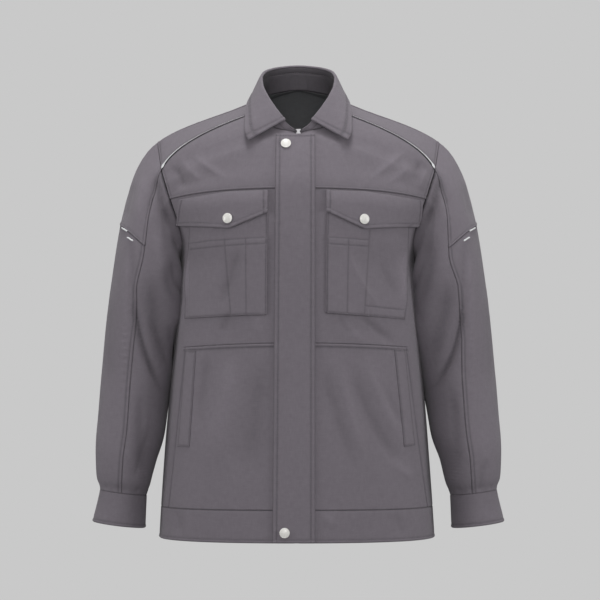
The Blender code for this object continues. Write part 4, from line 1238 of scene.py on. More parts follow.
def stitches(paths: list[Path]) -> Shell | None:
    """Topstitches along paths, each a short square-sectioned grain of thread that dips at its ends.

    Args:
        paths: The points along each path, and the cloth's normals there.

    Returns:
        The stitches as one shell, or None where every path is too short.
    """
    middles, runs, ups = [], [], []
    for points, normals in paths:
        length = lengths(points)
        if length[-1] < 3 * STITCH_PITCH:
            continue
        at = np.arange(STITCH_PITCH, length[-1] - STITCH_PITCH / 2, STITCH_PITCH)
        back, middle, on = (read_table(at + d, length, points) for d in (-STITCH / 2, 0, STITCH / 2))
        middles.append(middle)
        runs.append(unit(on - back))
        ups.append(unit(read_table(at, length, normals)))
    if not middles:
        return None
    middle, run, up = np.vstack(middles), np.vstack(runs), np.vstack(ups)
    across = np.cross(run, up)
    turn = (np.arange(4) + 0.5) * math.pi / 2
    around = across[:, None] * np.cos(turn)[:, None] + up[:, None] * np.sin(turn)[:, None]
    rings = [
        (middle + run * share * STITCH + up * lift * THREAD)[:, None] + around * (THREAD_REACH * wide)
        for share, wide, lift in STITCH_SECTIONS
    ]
    j = np.arange(4)
    after = (j + 1) % 4
    sides = [np.stack([s + j, s + 4 + j, s + 4 + after, s + after], axis=1) for s in (0, 4, 8)]
    grain = np.vstack(sides + [np.array([[0, 1, 2, 3], [15, 14, 13, 12]])])
    faces = grain[None] + 16 * np.arange(len(middle))[:, None, None]
    return Shell.plain(np.stack(rings, axis=1).reshape(-1, 3), faces.reshape(-1, 4))


# ---------------- marks on a face
class MarkKind(Enum):
    """What a mark is: a row of stitches, a pressed line, or a fold below which the cloth stands out."""

    STITCHED = "stitched"
    PRESSED = "pressed"
    FOLDED = "folded"


MARK_POINTS = 60
# Painted shade along a mark's groove, and a painted shadow line just above a fold.
MARK_SHADE = 0.8  # how dark a row of stitches or a pressed line is beside a seam
FOLD_RISE = 1.5 * MM
FOLD_FALL = (-1.6 * MM, 0.3 * MM)  # from below a fold to above it
FOLD_END = 1.5 * MM
FOLD_LINE, FOLD_LINE_WIDTH = 0.5 * MM, 1.0 * MM  # the dark line above it


class Mark(NamedTuple):
    """A line through two or three points of the front view, in millimetres."""

    kind: MarkKind
    points: tuple[Pair, ...]

    def line(self) -> Array:
        """Spread points evenly along the line.

        Returns:
            The points, in metres.
        """
        corners = np.array(self.points) * MM
        length = lengths(corners)
        return read_table(np.linspace(0, length[-1], MARK_POINTS), length, corners)

    def relief(self, x: Array, z: Array) -> tuple[Array, Array]:
        """How it lifts or presses the face at points of the front view.

        Args:
            x: The points' x.
            z: The points' z.

        Returns:
            The relief, positive outwards, and its painted shade.
        """
        line = self.line()
        if self.kind is not MarkKind.FOLDED:
            groove = bump(distance_to(line, x, z), GROOVE_WIDTH)
            # painted shade along the groove
            return -GROOVE * groove, MARK_SHADE * groove
        line = line[line[:, 0].argsort()]
        above = z - np.interp(x, line[:, 0], line[:, 1])
        start, end = line[[0, -1], 0]
        inside = ramp(x, start - FOLD_END, start) * (1 - ramp(x, end, end + FOLD_END))
        rise = FOLD_RISE * (1 - ramp(above, *FOLD_FALL)) * inside
        # a painted shadow line just above the fold
        return rise, inside * bump(above - FOLD_LINE, FOLD_LINE_WIDTH)


def distance_to(line: Array, x: Array, z: Array) -> Array:
    """The distance in the front view from points to a line of close points.

    Args:
        line: The line's points.
        x: The points' x.
        z: The points' z.

    Returns:
        The distances.
    """
    start, run = line[:-1], np.diff(line, axis=0)
    off = np.stack([x, z], axis=-1)[..., None, :] - start
    share = np.clip((off * run).sum(-1) / (run**2).sum(-1), 0, 1)
    return np.linalg.norm(off - share[..., None] * run, axis=-1).min(-1)


# ---------------- cloth pieces
class Held(Enum):
    """How a sheet of cloth is held."""

    HUNG = "hung"
    LAID = "laid"
    FOLDED = "folded"


# Painted shade in crease troughs and painted highlight on crease ridges, as parts of the seam attribute.
PAINTED_CREASE_SHADE_DEPTH = 9 * MM  # the depth of a crease that would be as dark as a seam
PAINTED_CREASE_SHADE_LEAST, PAINTED_CREASE_SHADE_MOST = -0.4, 0.9
FACING = (-0.2, 0.3)  # the normals' y between which a crease of one view starts to show
INSET = 1.5 * MM  # how far from a plain edge the stitches along the next edge stop
INSET_SLACK = 0.1 * MM


@dataclass(frozen=True)
class Area:
    """One grid of a cloth piece.

    Attributes:
        place: The surface that it lies on.
        edges: The finish of its edges.
        step: About how far apart its grid's lines are.
        cloth: The cloth's thickness.
        lift: How far its underside stands off the surface, or None where its face is the surface.
        both: Whether both of its faces are finished alike.
        wrap: Whether its last column meets its first.
        marks: The lines on its face.
        knots: Values of u at which there has to be a line.
        creases: The creases in whose troughs the colour gets painted shade, and on whose ridges painted
            highlight.
    """

    place: Place
    edges: dict[Rim, Edge]
    step: float = 3.5 * MM
    cloth: float = CLOTH
    lift: float | None = None
    both: bool = False
    wrap: bool = False
    marks: tuple[Mark, ...] = ()
    knots: tuple[float, ...] = ()
    creases: dict[View, list[Crease]] | None = field(default_factory=lambda: BODY_CREASES)

    def sew(self) -> tuple[Shell, list[Path], tuple[float, float, float]]:
        """Work out the area's wall.

        Returns:
            The wall, the paths of its stitches, and its flat width, length and area.
        """
        patch = lay_patch(self.place, self.edges, self.step, self.knots)
        if self.wrap:
            patch = patch.without_last_column()
        relief, seam = edge_relief(patch, self.edges)
        points, normals = patch.points, patch.normals
        for mark in self.marks:
            raised, shade = mark.relief(points[..., 0], points[..., 2])
            relief = relief + raised
            seam = np.maximum(seam, shade)
        # painted shade in the creases' troughs and painted highlight on their ridges, added to the seam
        # attribute
        for view, creases in (self.creases or {}).items():
            facing = ramp(normals[..., 1] * view.value, *FACING)
            fade = crease_depth(creases, points[..., 0], points[..., 2]) * facing / PAINTED_CREASE_SHADE_DEPTH
            seam = seam + np.clip(fade, PAINTED_CREASE_SHADE_LEAST, PAINTED_CREASE_SHADE_MOST)
        base = self.cloth + self.lift if self.lift is not None else 0.0
        outer = points + normals * (relief + base)[..., None]
        under = relief if self.both else np.zeros(relief.shape)
        inner = points + normals * (base - self.cloth - under)[..., None]
        shell = wall(outer, inner, normals, patch.cut, seam, self.wrap)
        return shell, self.rows(patch, outer) + self.mark_rows(patch, outer), patch.flat_size()

    def rows(self, patch: Patch, outer: Array) -> list[Path]:
        """Find the stitches beside the edges, which lie on lines of the grid.

        Args:
            patch: The grid.
            outer: The face's points.

        Returns:
            The paths.
        """
        paths = []
        for rim, edge in self.edges.items():
            near = near_lines(edge)
            for row in edge.rows:
                k = int(np.abs(near - row).argmin())
                k = k if rim in (Rim.LEFT, Rim.LOW) else -1 - k
                at = (slice(None), k) if rim in UPRIGHT else (k, slice(None))
                line, normals = outer[at], patch.normals[at]
                share = np.linspace(0, 1, len(line))
                held = (share >= edge.stitched[0]) & (share <= edge.stitched[1])
                for other in LEVEL if rim in UPRIGHT else UPRIGHT:
                    inset = max(self.edges.get(other, OPEN).rows, default=INSET)
                    held &= patch.away[other][at] >= inset - INSET_SLACK
                paths.append((line[held], normals[held]))
        return paths

    def mark_rows(self, patch: Patch, outer: Array) -> list[Path]:
        """Find the stitches along the marks, from the nearest points of the face.

        Args:
            patch: The grid.
            outer: The face's points.

        Returns:
            The paths.
        """
        paths = []
        points, normals = outer.reshape(-1, 3), patch.normals.reshape(-1, 3)
        for mark in self.marks:
            if mark.kind is not MarkKind.STITCHED:
                continue
            line = mark.line()
            gap = (line[:, :1] - points[:, 0]) ** 2 + (line[:, 1:] - points[:, 2]) ** 2
            nearest = gap.argmin(1)
            path = np.stack([line[:, 0], points[nearest, 1], line[:, 1]], axis=1)
            paths.append((path, normals[nearest]))
        return paths


@dataclass
class Finishes:
    """The jacket's finishes, ready to put on its pieces."""

    cloth: bpy.types.Material
    # facing is the cloth darkened as painted shade, for the collar stand's face inside the neck
    facing: bpy.types.Material
    lining: bpy.types.Material
    # inside is the lining lightened as painted light, for the back's inside seen in the neck
    inside: bpy.types.Material
    thread: bpy.types.Material
    silver: bpy.types.Material
    enamel: bpy.types.Material
    tape: bpy.types.Material
    moulded: bpy.types.Material


def fit(piece: bpy.types.Object, slot: str, *materials: bpy.types.Material) -> None:
    """Give a piece its finishes and the body that it rides on.

    Args:
        piece: The piece.
        slot: The slot's name; not used.
        *materials: Its finishes, its face's first.
    """
    for material in materials:
        piece.data.materials.append(material)
    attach(piece, BODY)


def stand_in(piece: bpy.types.Object, node: str, slot: str, *materials: bpy.types.Material) -> None:
    """Put a piece in the place of its solid, and log how far its box is off the solid's.

    Args:
        piece: The piece.
        node: The solid's name.
        slot: The slot's name.
        *materials: Its finishes, its face's first.
    """
    fit(piece, slot, *materials)
    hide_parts(node)
    points = np.empty(3 * len(piece.data.vertices), np.float32)
    piece.data.vertices.foreach_get("co", points)
    points = points.reshape(-1, 3)
    low, high = (np.array(corner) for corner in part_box(node))
    off = np.concatenate([points.min(0) - low, points.max(0) - high]) / MM
    log.info("%-24s %6d faces, off its solid by %s", piece.name, len(piece.data.polygons), np.round(off, 1))


def sewn_piece(
    node: str,
    areas: list[Area],
    finishes: Finishes,
    backed: bpy.types.Material | None = None,
    face: bpy.types.Material | None = None,
) -> None:
    """Make one cloth piece with its stitches, in the place of its solid.

    Args:
        node: The solid's name.
        areas: The grids that the piece is made of.
        finishes: The finishes.
        backed: The finish of its back, if it isn't the cloth.
        face: The finish of its face, if it isn't the cloth.
    """
    shells, paths, sizes = zip(*(area.sew() for area in areas))
    piece = Shell.joined(list(shells)).build(f"{node}_cloth")
    stand_in(piece, node, "cloth", face or finishes.cloth, backed or finishes.cloth)
    thread = stitches(sum(paths, []))
    if thread is not None:
        seam = thread.build(f"{node}_stitches")
        fit(seam, "cloth", finishes.thread)


# ---------------- body
def row_end(t: Array) -> Array:
    """The end of every row: the side seam, and above it the armhole."""
    return np.ones(np.shape(t))


def row_start(t: Array) -> Array:
    """The start of every row."""
    return np.zeros(np.shape(t))


def front_edge(t: Array) -> Array:
    """The front's edge beside the zip, which runs out to the neckline above the centre front."""
    return FRONT_EDGE_SHARE * np.clip(FRONT_NECK + 1 - t, 0, 1)


def side_front_seam(side: int) -> Share:
    """Where one front's side seam crosses the rows, straight from the hem band to the waist.

    Args:
        side: 1 for the wearer's left front and -1 for the right.

    Returns:
        The seam's share along each row.
    """

    def share(t: Array) -> Array:
        """The seam's share along a row."""
        up = np.clip((t - BAND) / (WAIST - BAND), 0, 1)
        return between(SIDE_SEAM_AT_HEM[side], SIDE_SEAM_AT_WAIST[side], up)

    return share


def between_rows(surface: BodySurface, side: int, rows: tuple[int, int], start: Share, end: Share) -> Place:
    """Part of half a surface: v runs up its rows, and u along each from start to end.

    Args:
        surface: The front or the back.
        side: 1 for the wearer's left half and -1 for the right.
        rows: The lowest and the highest row.
        start: Where each row starts.
        end: Where each row ends.

    Returns:
        The place.
    """

    def place(u: Array, v: Array) -> Path:
        """Points and normals."""
        t = between(*rows, v)
        return surface.worn(between(start(t), end(t), u), t, side)

    return place


def across_back(rows: tuple[int, int]) -> Place:
    """The whole width of the back: u runs from the wearer's right to the left, and v up the rows.

    Args:
        rows: The lowest and the highest row.

    Returns:
        The place.
    """

    def place(u: Array, v: Array) -> Path:
        """Points and normals."""
        x = 2 * u - 1
        return BACK.worn(np.abs(x), between(*rows, v), np.where(x < 0, -1.0, 1.0))

    return place


@dataclass
class BodyPanels:
    """The fronts, the back and the hem band, each cut along its seams.

    Attributes:
        armhole: The edge beside the armhole, with its stitches.
        seam: A seam with stitches beside it.
        yoke: The yoke's edge at the piping.
        band: The hem band's seam in front.
        under_piping: The chest's edge, on which the piping's shadow falls.
    """

    armhole: Edge = Edge(roll=1.0 * MM, rows=(4.4 * MM,), pad=0.5 * MM)
    seam: Edge = TOPSTITCHED
    yoke: Edge = Edge(roll=0.5 * MM, reach=1.4 * MM, rows=(4.6 * MM,), pad=0.9 * MM)
    band: Edge = Edge(roll=1.0 * MM, reach=2.2 * MM, shade=1.3)
    under_piping: Edge = Edge(roll=1.2 * MM, reach=4.2 * MM, shade=3.2)

    def front(self, side: int) -> dict[str, list[Area]]:
        """Cut one front. The waist seam goes on as plain cloth inside the side front seam.

        Args:
            side: 1 for the wearer's left front and -1 for the right.

        Returns:
            Each piece's areas, by what it is called in the solids.
        """
        seam = side_front_seam(side)
        inner = (float(seam(np.array(WAIST))) - FRONT_EDGE_SHARE) / (1 - FRONT_EDGE_SHARE)
        inside = Edge(turned=(0, inner))
        cuts = (
            ("hem_band", (0, BAND), front_edge, row_end, (TUCKED, SEWN, HEMMED, self.band)),
            ("lower_front", (BAND, WAIST), front_edge, seam, (TUCKED, self.seam, self.band, self.seam)),
            ("middle_front", (WAIST, CHEST), front_edge, row_end, (TUCKED, SEWN, inside, SEWN)),
            ("middle_front", (BAND, WAIST), seam, row_end, (SEWN, SEWN, SEWN, None)),
            ("chest_front", (CHEST, PIPING), front_edge, row_end,
             (TUCKED, self.armhole, self.seam, self.under_piping)),
            ("yoke", (PIPING, LAST), row_start, row_end, (TUCKED, self.armhole, self.yoke, SEWN)),
        )
        pieces: dict[str, list[Area]] = {}
        for name, rows, start, end, edges in cuts:
            area = Area(between_rows(FRONT, side, rows, start, end), edged(*edges))
            pieces.setdefault(name, []).append(area)
        return pieces

    def back(self) -> dict[str, list[Area]]:
        """Cut the back from side seam to side seam, with its shoulders, and the back's hem band.

        Returns:
            Each piece's areas, by what it is called in the solids.
        """
        underarm = (UNDERARM - BAND) / (BACK_NECK - BAND)
        side = replace(self.armhole, stitched=(underarm, 1))
        main = Area(across_back((BAND, BACK_NECK)), edged(side, side, SEWN, None))
        shoulders = [
            Area(
                between_rows(BACK, sign, (BACK_NECK, LAST), row_start, row_end),
                edged(TUCKED, self.armhole, None, self.seam),
            )
            for sign, _ in BOTH_SIDES
        ]
        band = Area(across_back((0, BAND)), edged(SEWN, SEWN, HEMMED, SEWN))
        return {"back": [main, *shoulders], "hem_band_back": [band]}

    def build(self, finishes: Finishes) -> None:
        """Make the panels.

        Args:
            finishes: The jacket's finishes.
        """
        for side, word in BOTH_SIDES:
            for name, areas in self.front(side).items():
                sewn_piece(f"{name}_{word}", areas, finishes, finishes.lining)
        for name, areas in self.back().items():
            # the back's inside gets the lightened lining, as painted light in the neck opening
            backed = finishes.inside if name == "back" else finishes.lining
            sewn_piece(name, areas, finishes, backed)


# ---------------- sleeves
@dataclass
class Sleeves:
    """Each sleeve's cap, outer and under sleeve, and cuff.

    Attributes:
        step: About how far apart the grids' lines are.
        cuff_step: The same on the cuffs.
        seam: A seam with stitches beside it.
        under: The under sleeve's edge at the armhole, with the widest and darkest painted shade along it.
    """

    step: float = 3.2 * MM
    cuff_step: float = 2.4 * MM
    seam: Edge = Edge(roll=0.9 * MM, rows=(5.2 * MM,), pad=0.5 * MM)
    # a wide band of painted shade along the armhole, where the sleeve meets the body
    under: Edge = Edge(roll=0.9 * MM, reach=8.0 * MM, shade=2.6)

    def __post_init__(self) -> None:
        """Work out how far along the sleeve the slanting cap seam is, all the way over the arm."""
        self.cap_around = np.linspace(-SLEEVE.back_seam, SLEEVE.seam, 90)
        slant = (1 - np.cos(SLEEVE.angle(self.cap_around))) / (1 - math.cos(math.radians(SLEEVE_SEAM_ANGLE)))
        heights = between(CAP_OUTER_Z, CAP_SEAM_Z, np.clip(slant, 0, 1))
        self.cap_along = SLEEVE.level_with(self.cap_around, heights, 1, 400)

    def cap_seam(self, around: Array) -> Array:
        """How far along the cap seam is at a share of the way round."""
        return smooth_table(self.cap_around, self.cap_along[:, None], around)[..., 0]

    def place(self, side: int, ends: Pair, low: Share, high: Share) -> Place:
        """Part of one sleeve: u runs round the arm, and v down it, bowed with its front seam.

        Args:
            side: 1 for the wearer's left sleeve and -1 for the right.
            ends: The shares of the way round at which it starts and ends.
            low: How far down it starts.
            high: How far down it ends.

        Returns:
            The place.
        """
        seams = (-SLEEVE.back_seam, SLEEVE.seam, 1 - SLEEVE.back_seam)

        def place(u: Array, v: Array) -> Path:
            """Find points of it.

            Args:
                u: The way round.
                v: The way down.

            Returns:
                The points and normals.
            """
            around = between(*ends, u)
            along = between(low(around), high(around), v)
            sway = smooth_table(SWAY_ALONG, np.array(SWAY[side])[:, None], along)[..., 0]
            bow = np.interp(around, seams, (0, 1, 0)) * sway
            return SLEEVE.worn(around + bow, along, side)

        return place

    def areas(self, side: int) -> dict[str, Area]:
        """Cut one sleeve.

        Args:
            side: 1 for the wearer's left sleeve and -1 for the right.

        Returns:
            Each piece's area, by what it is called in the solids.
        """

        def level(along: float) -> Share:
            """The same way down the sleeve all the way round."""
            return lambda around: np.full(np.shape(around), float(along))

        over = (-SLEEVE.back_seam, SLEEVE.seam)
        under = (SLEEVE.seam, 1 - SLEEVE.back_seam)
        top, wrist, hem = level(0), level(CUFF_TOP), level(CUFF_HEM)
        cuts = (
            ("sleeve_cap", over, top, self.cap_seam, (self.seam, self.seam, SEWN, TOPSTITCHED)),
            ("sleeve_outer", over, self.cap_seam, wrist, (self.seam, self.seam, SEWN, TUCKED)),
            ("sleeve_under", under, top, wrist, (SEWN, SEWN, self.under, TUCKED)),
            ("cuff", (0, 1), wrist, hem, (None, None, SEWN, HEMMED)),
        )
        areas = {
            name: Area(self.place(side, ends, low, high), edged(*edges), self.step, creases=SLEEVE_CREASES)
            for name, ends, low, high, edges in cuts
        }
        areas["cuff"] = replace(areas["cuff"], step=self.cuff_step, cloth=DOUBLE_CLOTH, both=True, wrap=True)
        return areas

    def build(self, finishes: Finishes) -> None:
        """Make both sleeves.

        Args:
            finishes: The jacket's finishes.
        """
        for side, word in BOTH_SIDES:
            for name, area in self.areas(side).items():
                backed = None if name == "cuff" else finishes.lining
                sewn_piece(f"{name}_{word}", [area], finishes, backed)


# ---------------- collar, in millimetres
class Station(NamedTuple):
    """The stand's top and the leaf's edge, at a share of the way from the centre front to the back."""

    around: float
    x: float
    y: float
    z: float
    edge_x: float
    edge_y: float
    edge_z: float


COLLAR = [
    Station(0.00, 6.6, -98.5, -47, 60, -100, -55),
    Station(0.12, 21.5, -95, -32, 76.5, -108, -63),
    Station(0.24, 37, -86, -12, 84, -96, -46),
    Station(0.36, 50.5, -68, 9, 83.5, -64, -20),
    Station(0.48, 58, -40, 27, 80.5, -30, -1),
    Station(0.60, 59.5, -5, 41, 78.5, 2, 5),
    Station(0.72, 55, 32, 52, 77, 44, 11),
    Station(0.86, 34, 60, 61, 51, 82, 15),
    Station(1.00, 0, 70, 64.5, 0, 97, 13),
]
LEAF_START = 0.12
ROLL_PULL = (9 * MM, 19 * MM)  # how strongly the leaf rises before it turns over, in front and behind
FALL_PULL = 24 * MM  # and how strongly it runs down to its outer edge


def differenced(surface: Callable[[Array, Array], Array]) -> Place:
    """Add its normals to a surface: along v crossed into along u.

    Args:
        surface: The surface's points.

    Returns:
        The place.
    """

    def place(u: Array, v: Array) -> Path:
        """Points and normals."""
        u, v = arrays(u, v)
        return surface(u, v), -normals_of(surface, u, v, NEAR, (0, 1), (0, 1))

    return place


@dataclass
class Collar:
    """The stand, sewn to the neck edge, and the leaf, which goes on from its top and turns over.

    The stand is ruled from the neck edge to its top. The leaf is a cubic from the stand's top, which
    it leaves upwards, to its outer edge, which it reaches downwards.

    Attributes:
        step: About how far apart the grids' lines are.
        raised: How far above the neck edge the stand starts.
        nape: From where to the centre back the neck edge is evened out, as shares.
        nape_reach: How far to each side it is evened out there.
        leaf_edge: The leaf's edges.
        stand_row: The stand's top, with its stitches.
    """

    step: float = 2.4 * MM
    raised: float = 0.45 * MM
    nape: Pair = (0.8, 1.0)
    nape_reach: float = 0.07
    leaf_edge: Edge = Edge(roll=1.0 * MM, reach=2.4 * MM, rows=(6.0 * MM,), pad=0.7 * MM, shade=0.0)
    stand_row: Edge = Edge(roll=0.3 * MM, rows=(9.0 * MM,))

    def __post_init__(self) -> None:
        """Work out the neck edge from the centre front to the centre back."""
        front_t = np.linspace(FRONT_NECK, LAST, 120)
        back_t = np.linspace(LAST, BACK_NECK, 80)[1:]
        line = np.vstack([FRONT.plain(front_edge(front_t), front_t), BACK.plain(0 * back_t, back_t)])
        length = lengths(line)
        self.around, self.line = length / length[-1], line
        stations = np.array(COLLAR, float)
        beyond = stations[-2] * np.array([-1, -1, 1, 1, -1, 1, 1]) + np.array([2, 0, 0, 0, 0, 0, 0])
        self.table = np.vstack([stations, beyond])

    def foot(self, around: Array) -> Array:
        """The neck edge. Near the centre back it is the mean of three points, so it has no corner.

        Args:
            around: The share of the way from the centre front to the centre back.

        Returns:
            The points.
        """
        reach = self.nape_reach * ramp(around, *self.nape)
        total = np.zeros((*np.shape(around), 3))
        for step in (-1, 0, 1):
            at = around + step * reach
            past = at > 1
            point = read_table(np.where(past, 2 - at, at), self.around, self.line)
            point[..., 0] *= np.where(past, -1, 1)
            total += point / 3
        return total

    def stations(self, around: Array) -> tuple[Array, Array]:
        """The stand's top and the leaf's outer edge."""
        both = smooth_table(self.table[:, 0], self.table[:, 1:] * MM, around)
        return both[..., :3], both[..., 3:]

    def stand(self, u: Array, v: Array) -> Array:
        """The stand, ruled between its foot and its top.

        Args:
            u: The way from the wearer's left round to the right.
            v: The way up.

        Returns:
            The points.
        """
        around = 1 - np.abs(2 * u - 1)
        foot = self.foot(around) + np.array([0, 0, self.raised])
        return self.mirrored(between(foot, self.stations(around)[0], v[..., None]), u)

    def leaf(self, u: Array, v: Array) -> Array:
        """The leaf, a cubic that rises from the stand's top and falls to its outer edge.

        Args:
            u: The way from the wearer's left round to the right.
            v: The way out to the edge.

        Returns:
            The points.
        """
        around = 1 - (1 - LEAF_START) * np.abs(2 * u - 1)
        top, edge = self.stations(around)
        rise = unit(top - self.foot(around))
        fall = unit(edge - top)
        start = top + rise * SEAM_GAP * 2
        pull = between(*ROLL_PULL, ramp(around, LEAF_START, 0.5))
        points = hermite(start, rise * pull[..., None], edge, fall * FALL_PULL, v[..., None])
        return self.mirrored(points, u)

    @staticmethod
    def mirrored(points: Array, u: Array) -> Array:
        """The left half's points, on the right where u is past the middle."""
        return leaned(points * np.where(u[..., None] <= 0.5, 1.0, [-1.0, 1.0, 1.0]))

    def build(self, finishes: Finishes) -> None:
        """Make the stand and the leaf.

        Args:
            finishes: The jacket's finishes.
        """
        sides, leaf = (SEWN, SEWN), self.leaf_edge
        stand_area = Area(
            differenced(self.stand), edged(*sides, SEWN, self.stand_row), self.step, DOUBLE_CLOTH,
            lift=0.0, creases=None,
        )
        leaf_area = Area(
            differenced(self.leaf), edged(leaf, leaf, None, leaf), self.step, DOUBLE_CLOTH,
            lift=0.0, both=True, creases=None,
        )
        # the stand's face gets the darker copy of the cloth, as painted shade inside the neck
        sewn_piece("collar_stand", [stand_area], finishes, face=finishes.facing)
        sewn_piece("collar_leaf", [leaf_area], finishes)


# ---------------- pieces on the fronts, in millimetres
class Column(NamedTuple):
    """A laid piece's top and bottom in the front view, and how far it stands out as at a pleat."""

    x_top: float
    z_top: float
    x_bottom: float
    z_bottom: float
    raised: float


FLAP_STEP = 22  # how far below its seam, and in from its sides, a flap reaches its full height
FLAP_FULL = (0.65, 0.35)  # the share of that height along its sides, and what the middle adds


@dataclass(frozen=True)
class LaidPiece:
    """A piece that lies on one front, or on both across the centre line where side is 0.

    Attributes:
        node: The solid's name.
        side: 1 for the wearer's left front, -1 for the right, and 0 for both.
        columns: Its columns, outwards from the centre line.
        lift: How far its underside is off the panel.
        cloth: Its thickness.
        edges: Its edges.
        step: About how far apart its grid's lines are.
        top_lift: How far off the panel its upper edge is, where that differs.
        marks: The lines on its face.
        resting: What it lies on; not used.
    """

    node: str
    side: int
    columns: tuple[Column, ...]
    lift: float
    cloth: float
    edges: dict[Rim, Edge]
    step: float
    top_lift: float | None = None
    marks: tuple[Mark, ...] = ()
    resting: tuple[str, ...] = ()

    def corners(self, u: Array) -> tuple[Array, Array]:
        """The columns' numbers, interpolated along the top edge.

        Args:
            u: The share of the way out along it.

        Returns:
            The top's x, and the other numbers in a last axis: z of the top, x and z of the bottom,
            and how far it stands out.
        """
        c = np.array(self.columns, float)
        top = between(c[0, 0], c[-1, 0], u)
        return top, read_table(top, c[:, 0], c[:, 1:])

    def seen(self, u: Array, v: Array) -> tuple[Array, Array]:
        """The front view's x and z, in millimetres: u runs out along the columns, and v up them."""
        top, at = self.corners(u)
        return between(at[..., 1], top, v), between(at[..., 2], at[..., 0], v)

    def off(self, u: Array, v: Array) -> Array:
        """How far its underside stands off the panel. A flap rises from its seam and its sides.

        Args:
            u: The way out along the columns.
            v: The way up them.

        Returns:
            The distance in metres.
        """
        top, at = self.corners(u)
        lift = self.lift + at[..., 3] * MM
        if self.top_lift is None:
            return lift
        below = at[..., 0] - self.seen(u, v)[1]
        beside = np.minimum(top - self.columns[0].x_top, self.columns[-1].x_top - top)
        full = rounded(below / FLAP_STEP) * (FLAP_FULL[0] + FLAP_FULL[1] * rounded(beside / FLAP_STEP))
        return between(self.top_lift, lift, full)

    def place(self, u: Array, v: Array) -> Path:
        """Points of its underside and the panel's normals there.

        Args:
            u: The way out along the columns.
            v: The way up them.

        Returns:
            The points and normals.
        """
        u, v = arrays(u, v)
        x, z = self.seen(u, v)
        side = np.where(x < 0, -1.0, 1.0) if self.side == 0 else np.full(x.shape, float(self.side))
        points, normals = FRONT.worn(*FRONT.find(np.abs(x) * MM, z * MM), side)
        return points + normals * self.off(u, v)[..., None], normals

    def knots(self) -> tuple[float, ...]:
        """The shares of u at which its outline has a corner."""
        c = np.array(self.columns, float)
        return tuple((c[1:-1, 0] - c[0, 0]) / (c[-1, 0] - c[0, 0])) if len(c) == 3 else ()

    def area(self) -> Area:
        """Its grid."""
        looks = {"marks": self.marks, "knots": self.knots()}
        return Area(self.place, self.edges, self.step, self.cloth, lift=0.0, **looks)

    def build(self, finishes: Finishes) -> None:
        """Make the piece."""
        sewn_piece(self.node, [self.area()], finishes)


PLEAT = 0.8
POCKET_LIFT, POCKET_CLOTH = 0.7 * MM, 1.3 * MM
FLAP_LIFT, FLAP_CLOTH, FLAP_SEAM_LIFT = 5.2 * MM, 1.6 * MM, 0.8 * MM
WELT_LIFT, WELT_CLOTH = 0.3 * MM, 1.2 * MM
PLACKET_LIFT, PLACKET_CLOTH = 1.2 * MM, 2.0 * MM

POCKETS = {
    -1: (
        Column(46.6, -158, 47.1, -336, 0),
        Column(79.4, -158, 78.3, -336.6, 0),
        Column(81.4, -158, 80.0, -336.6, PLEAT),
        Column(112.5, -158, 101.8, -338, PLEAT),
        Column(114.5, -158, 103.8, -338, 0),
        Column(168, -160, 177.2, -342.4, 0),
    ),
    1: (
        Column(45, -158, 43.7, -333, PLEAT),
        Column(112.4, -158, 103.0, -337.7, PLEAT),
        Column(114.4, -158, 105.0, -338, 0),
        Column(176, -162, 168.5, -343.4, 0),
    ),
}
POCKET_MARKS = {
    -1: (
        Mark(MarkKind.FOLDED, ((-170, -224.5), (-140, -221), (-47, -215.5))),
        Mark(MarkKind.STITCHED, ((-168, -233), (-113, -228), (-47, -224.6))),
        Mark(MarkKind.PRESSED, ((-114.6, -218), (-104.5, -337))),
        Mark(MarkKind.PRESSED, ((-81.6, -217), (-80.9, -336))),
    ),
    1: (
        Mark(MarkKind.FOLDED, ((46, -215.7), (108, -219.4))),
        Mark(MarkKind.STITCHED, ((46, -225.5), (108, -229.2))),
        Mark(MarkKind.PRESSED, ((77.4, -218), (75.3, -333))),
        Mark(MarkKind.PRESSED, ((110.6, -204), (101.9, -337))),
        Mark(MarkKind.STITCHED, ((103, -322), (164, -328.5))),
    ),
}
FLAPS = {
    -1: (
        Column(46.5, -141.5, 46.4, -177.1, 0),
        Column(106, -143.3, 105.7, -202, 0),
        Column(185.5, -154.4, 188.3, -195, 0),
    ),
    1: (
        Column(43.6, -141.7, 43.7, -175.4, 0),
        Column(103, -143.2, 102.8, -202.8, 0),
        Column(196, -155.6, 189, -196.5, 0),
    ),
}
WELTS = {
    -1: (Column(158.4, -392.5, 167.8, -543.5, 0), Column(175.6, -391.9, 187, -543.8, 0)),
    1: (Column(152, -390.5, 168.5, -543.8, 0), Column(169.2, -391, 186, -541.6, 0)),
}
PLACKET = (Column(-35, -53.6, -36.9, -690.6, 0), Column(26.4, -53.6, 29.4, -690.6, 0))
ZIP_TAPE = (Column(2.2, -58, 2.2, -688, 0), Column(15, -58, 15, -688, 0))
ZIP_TAPE_CLOTH = 1.0 * MM


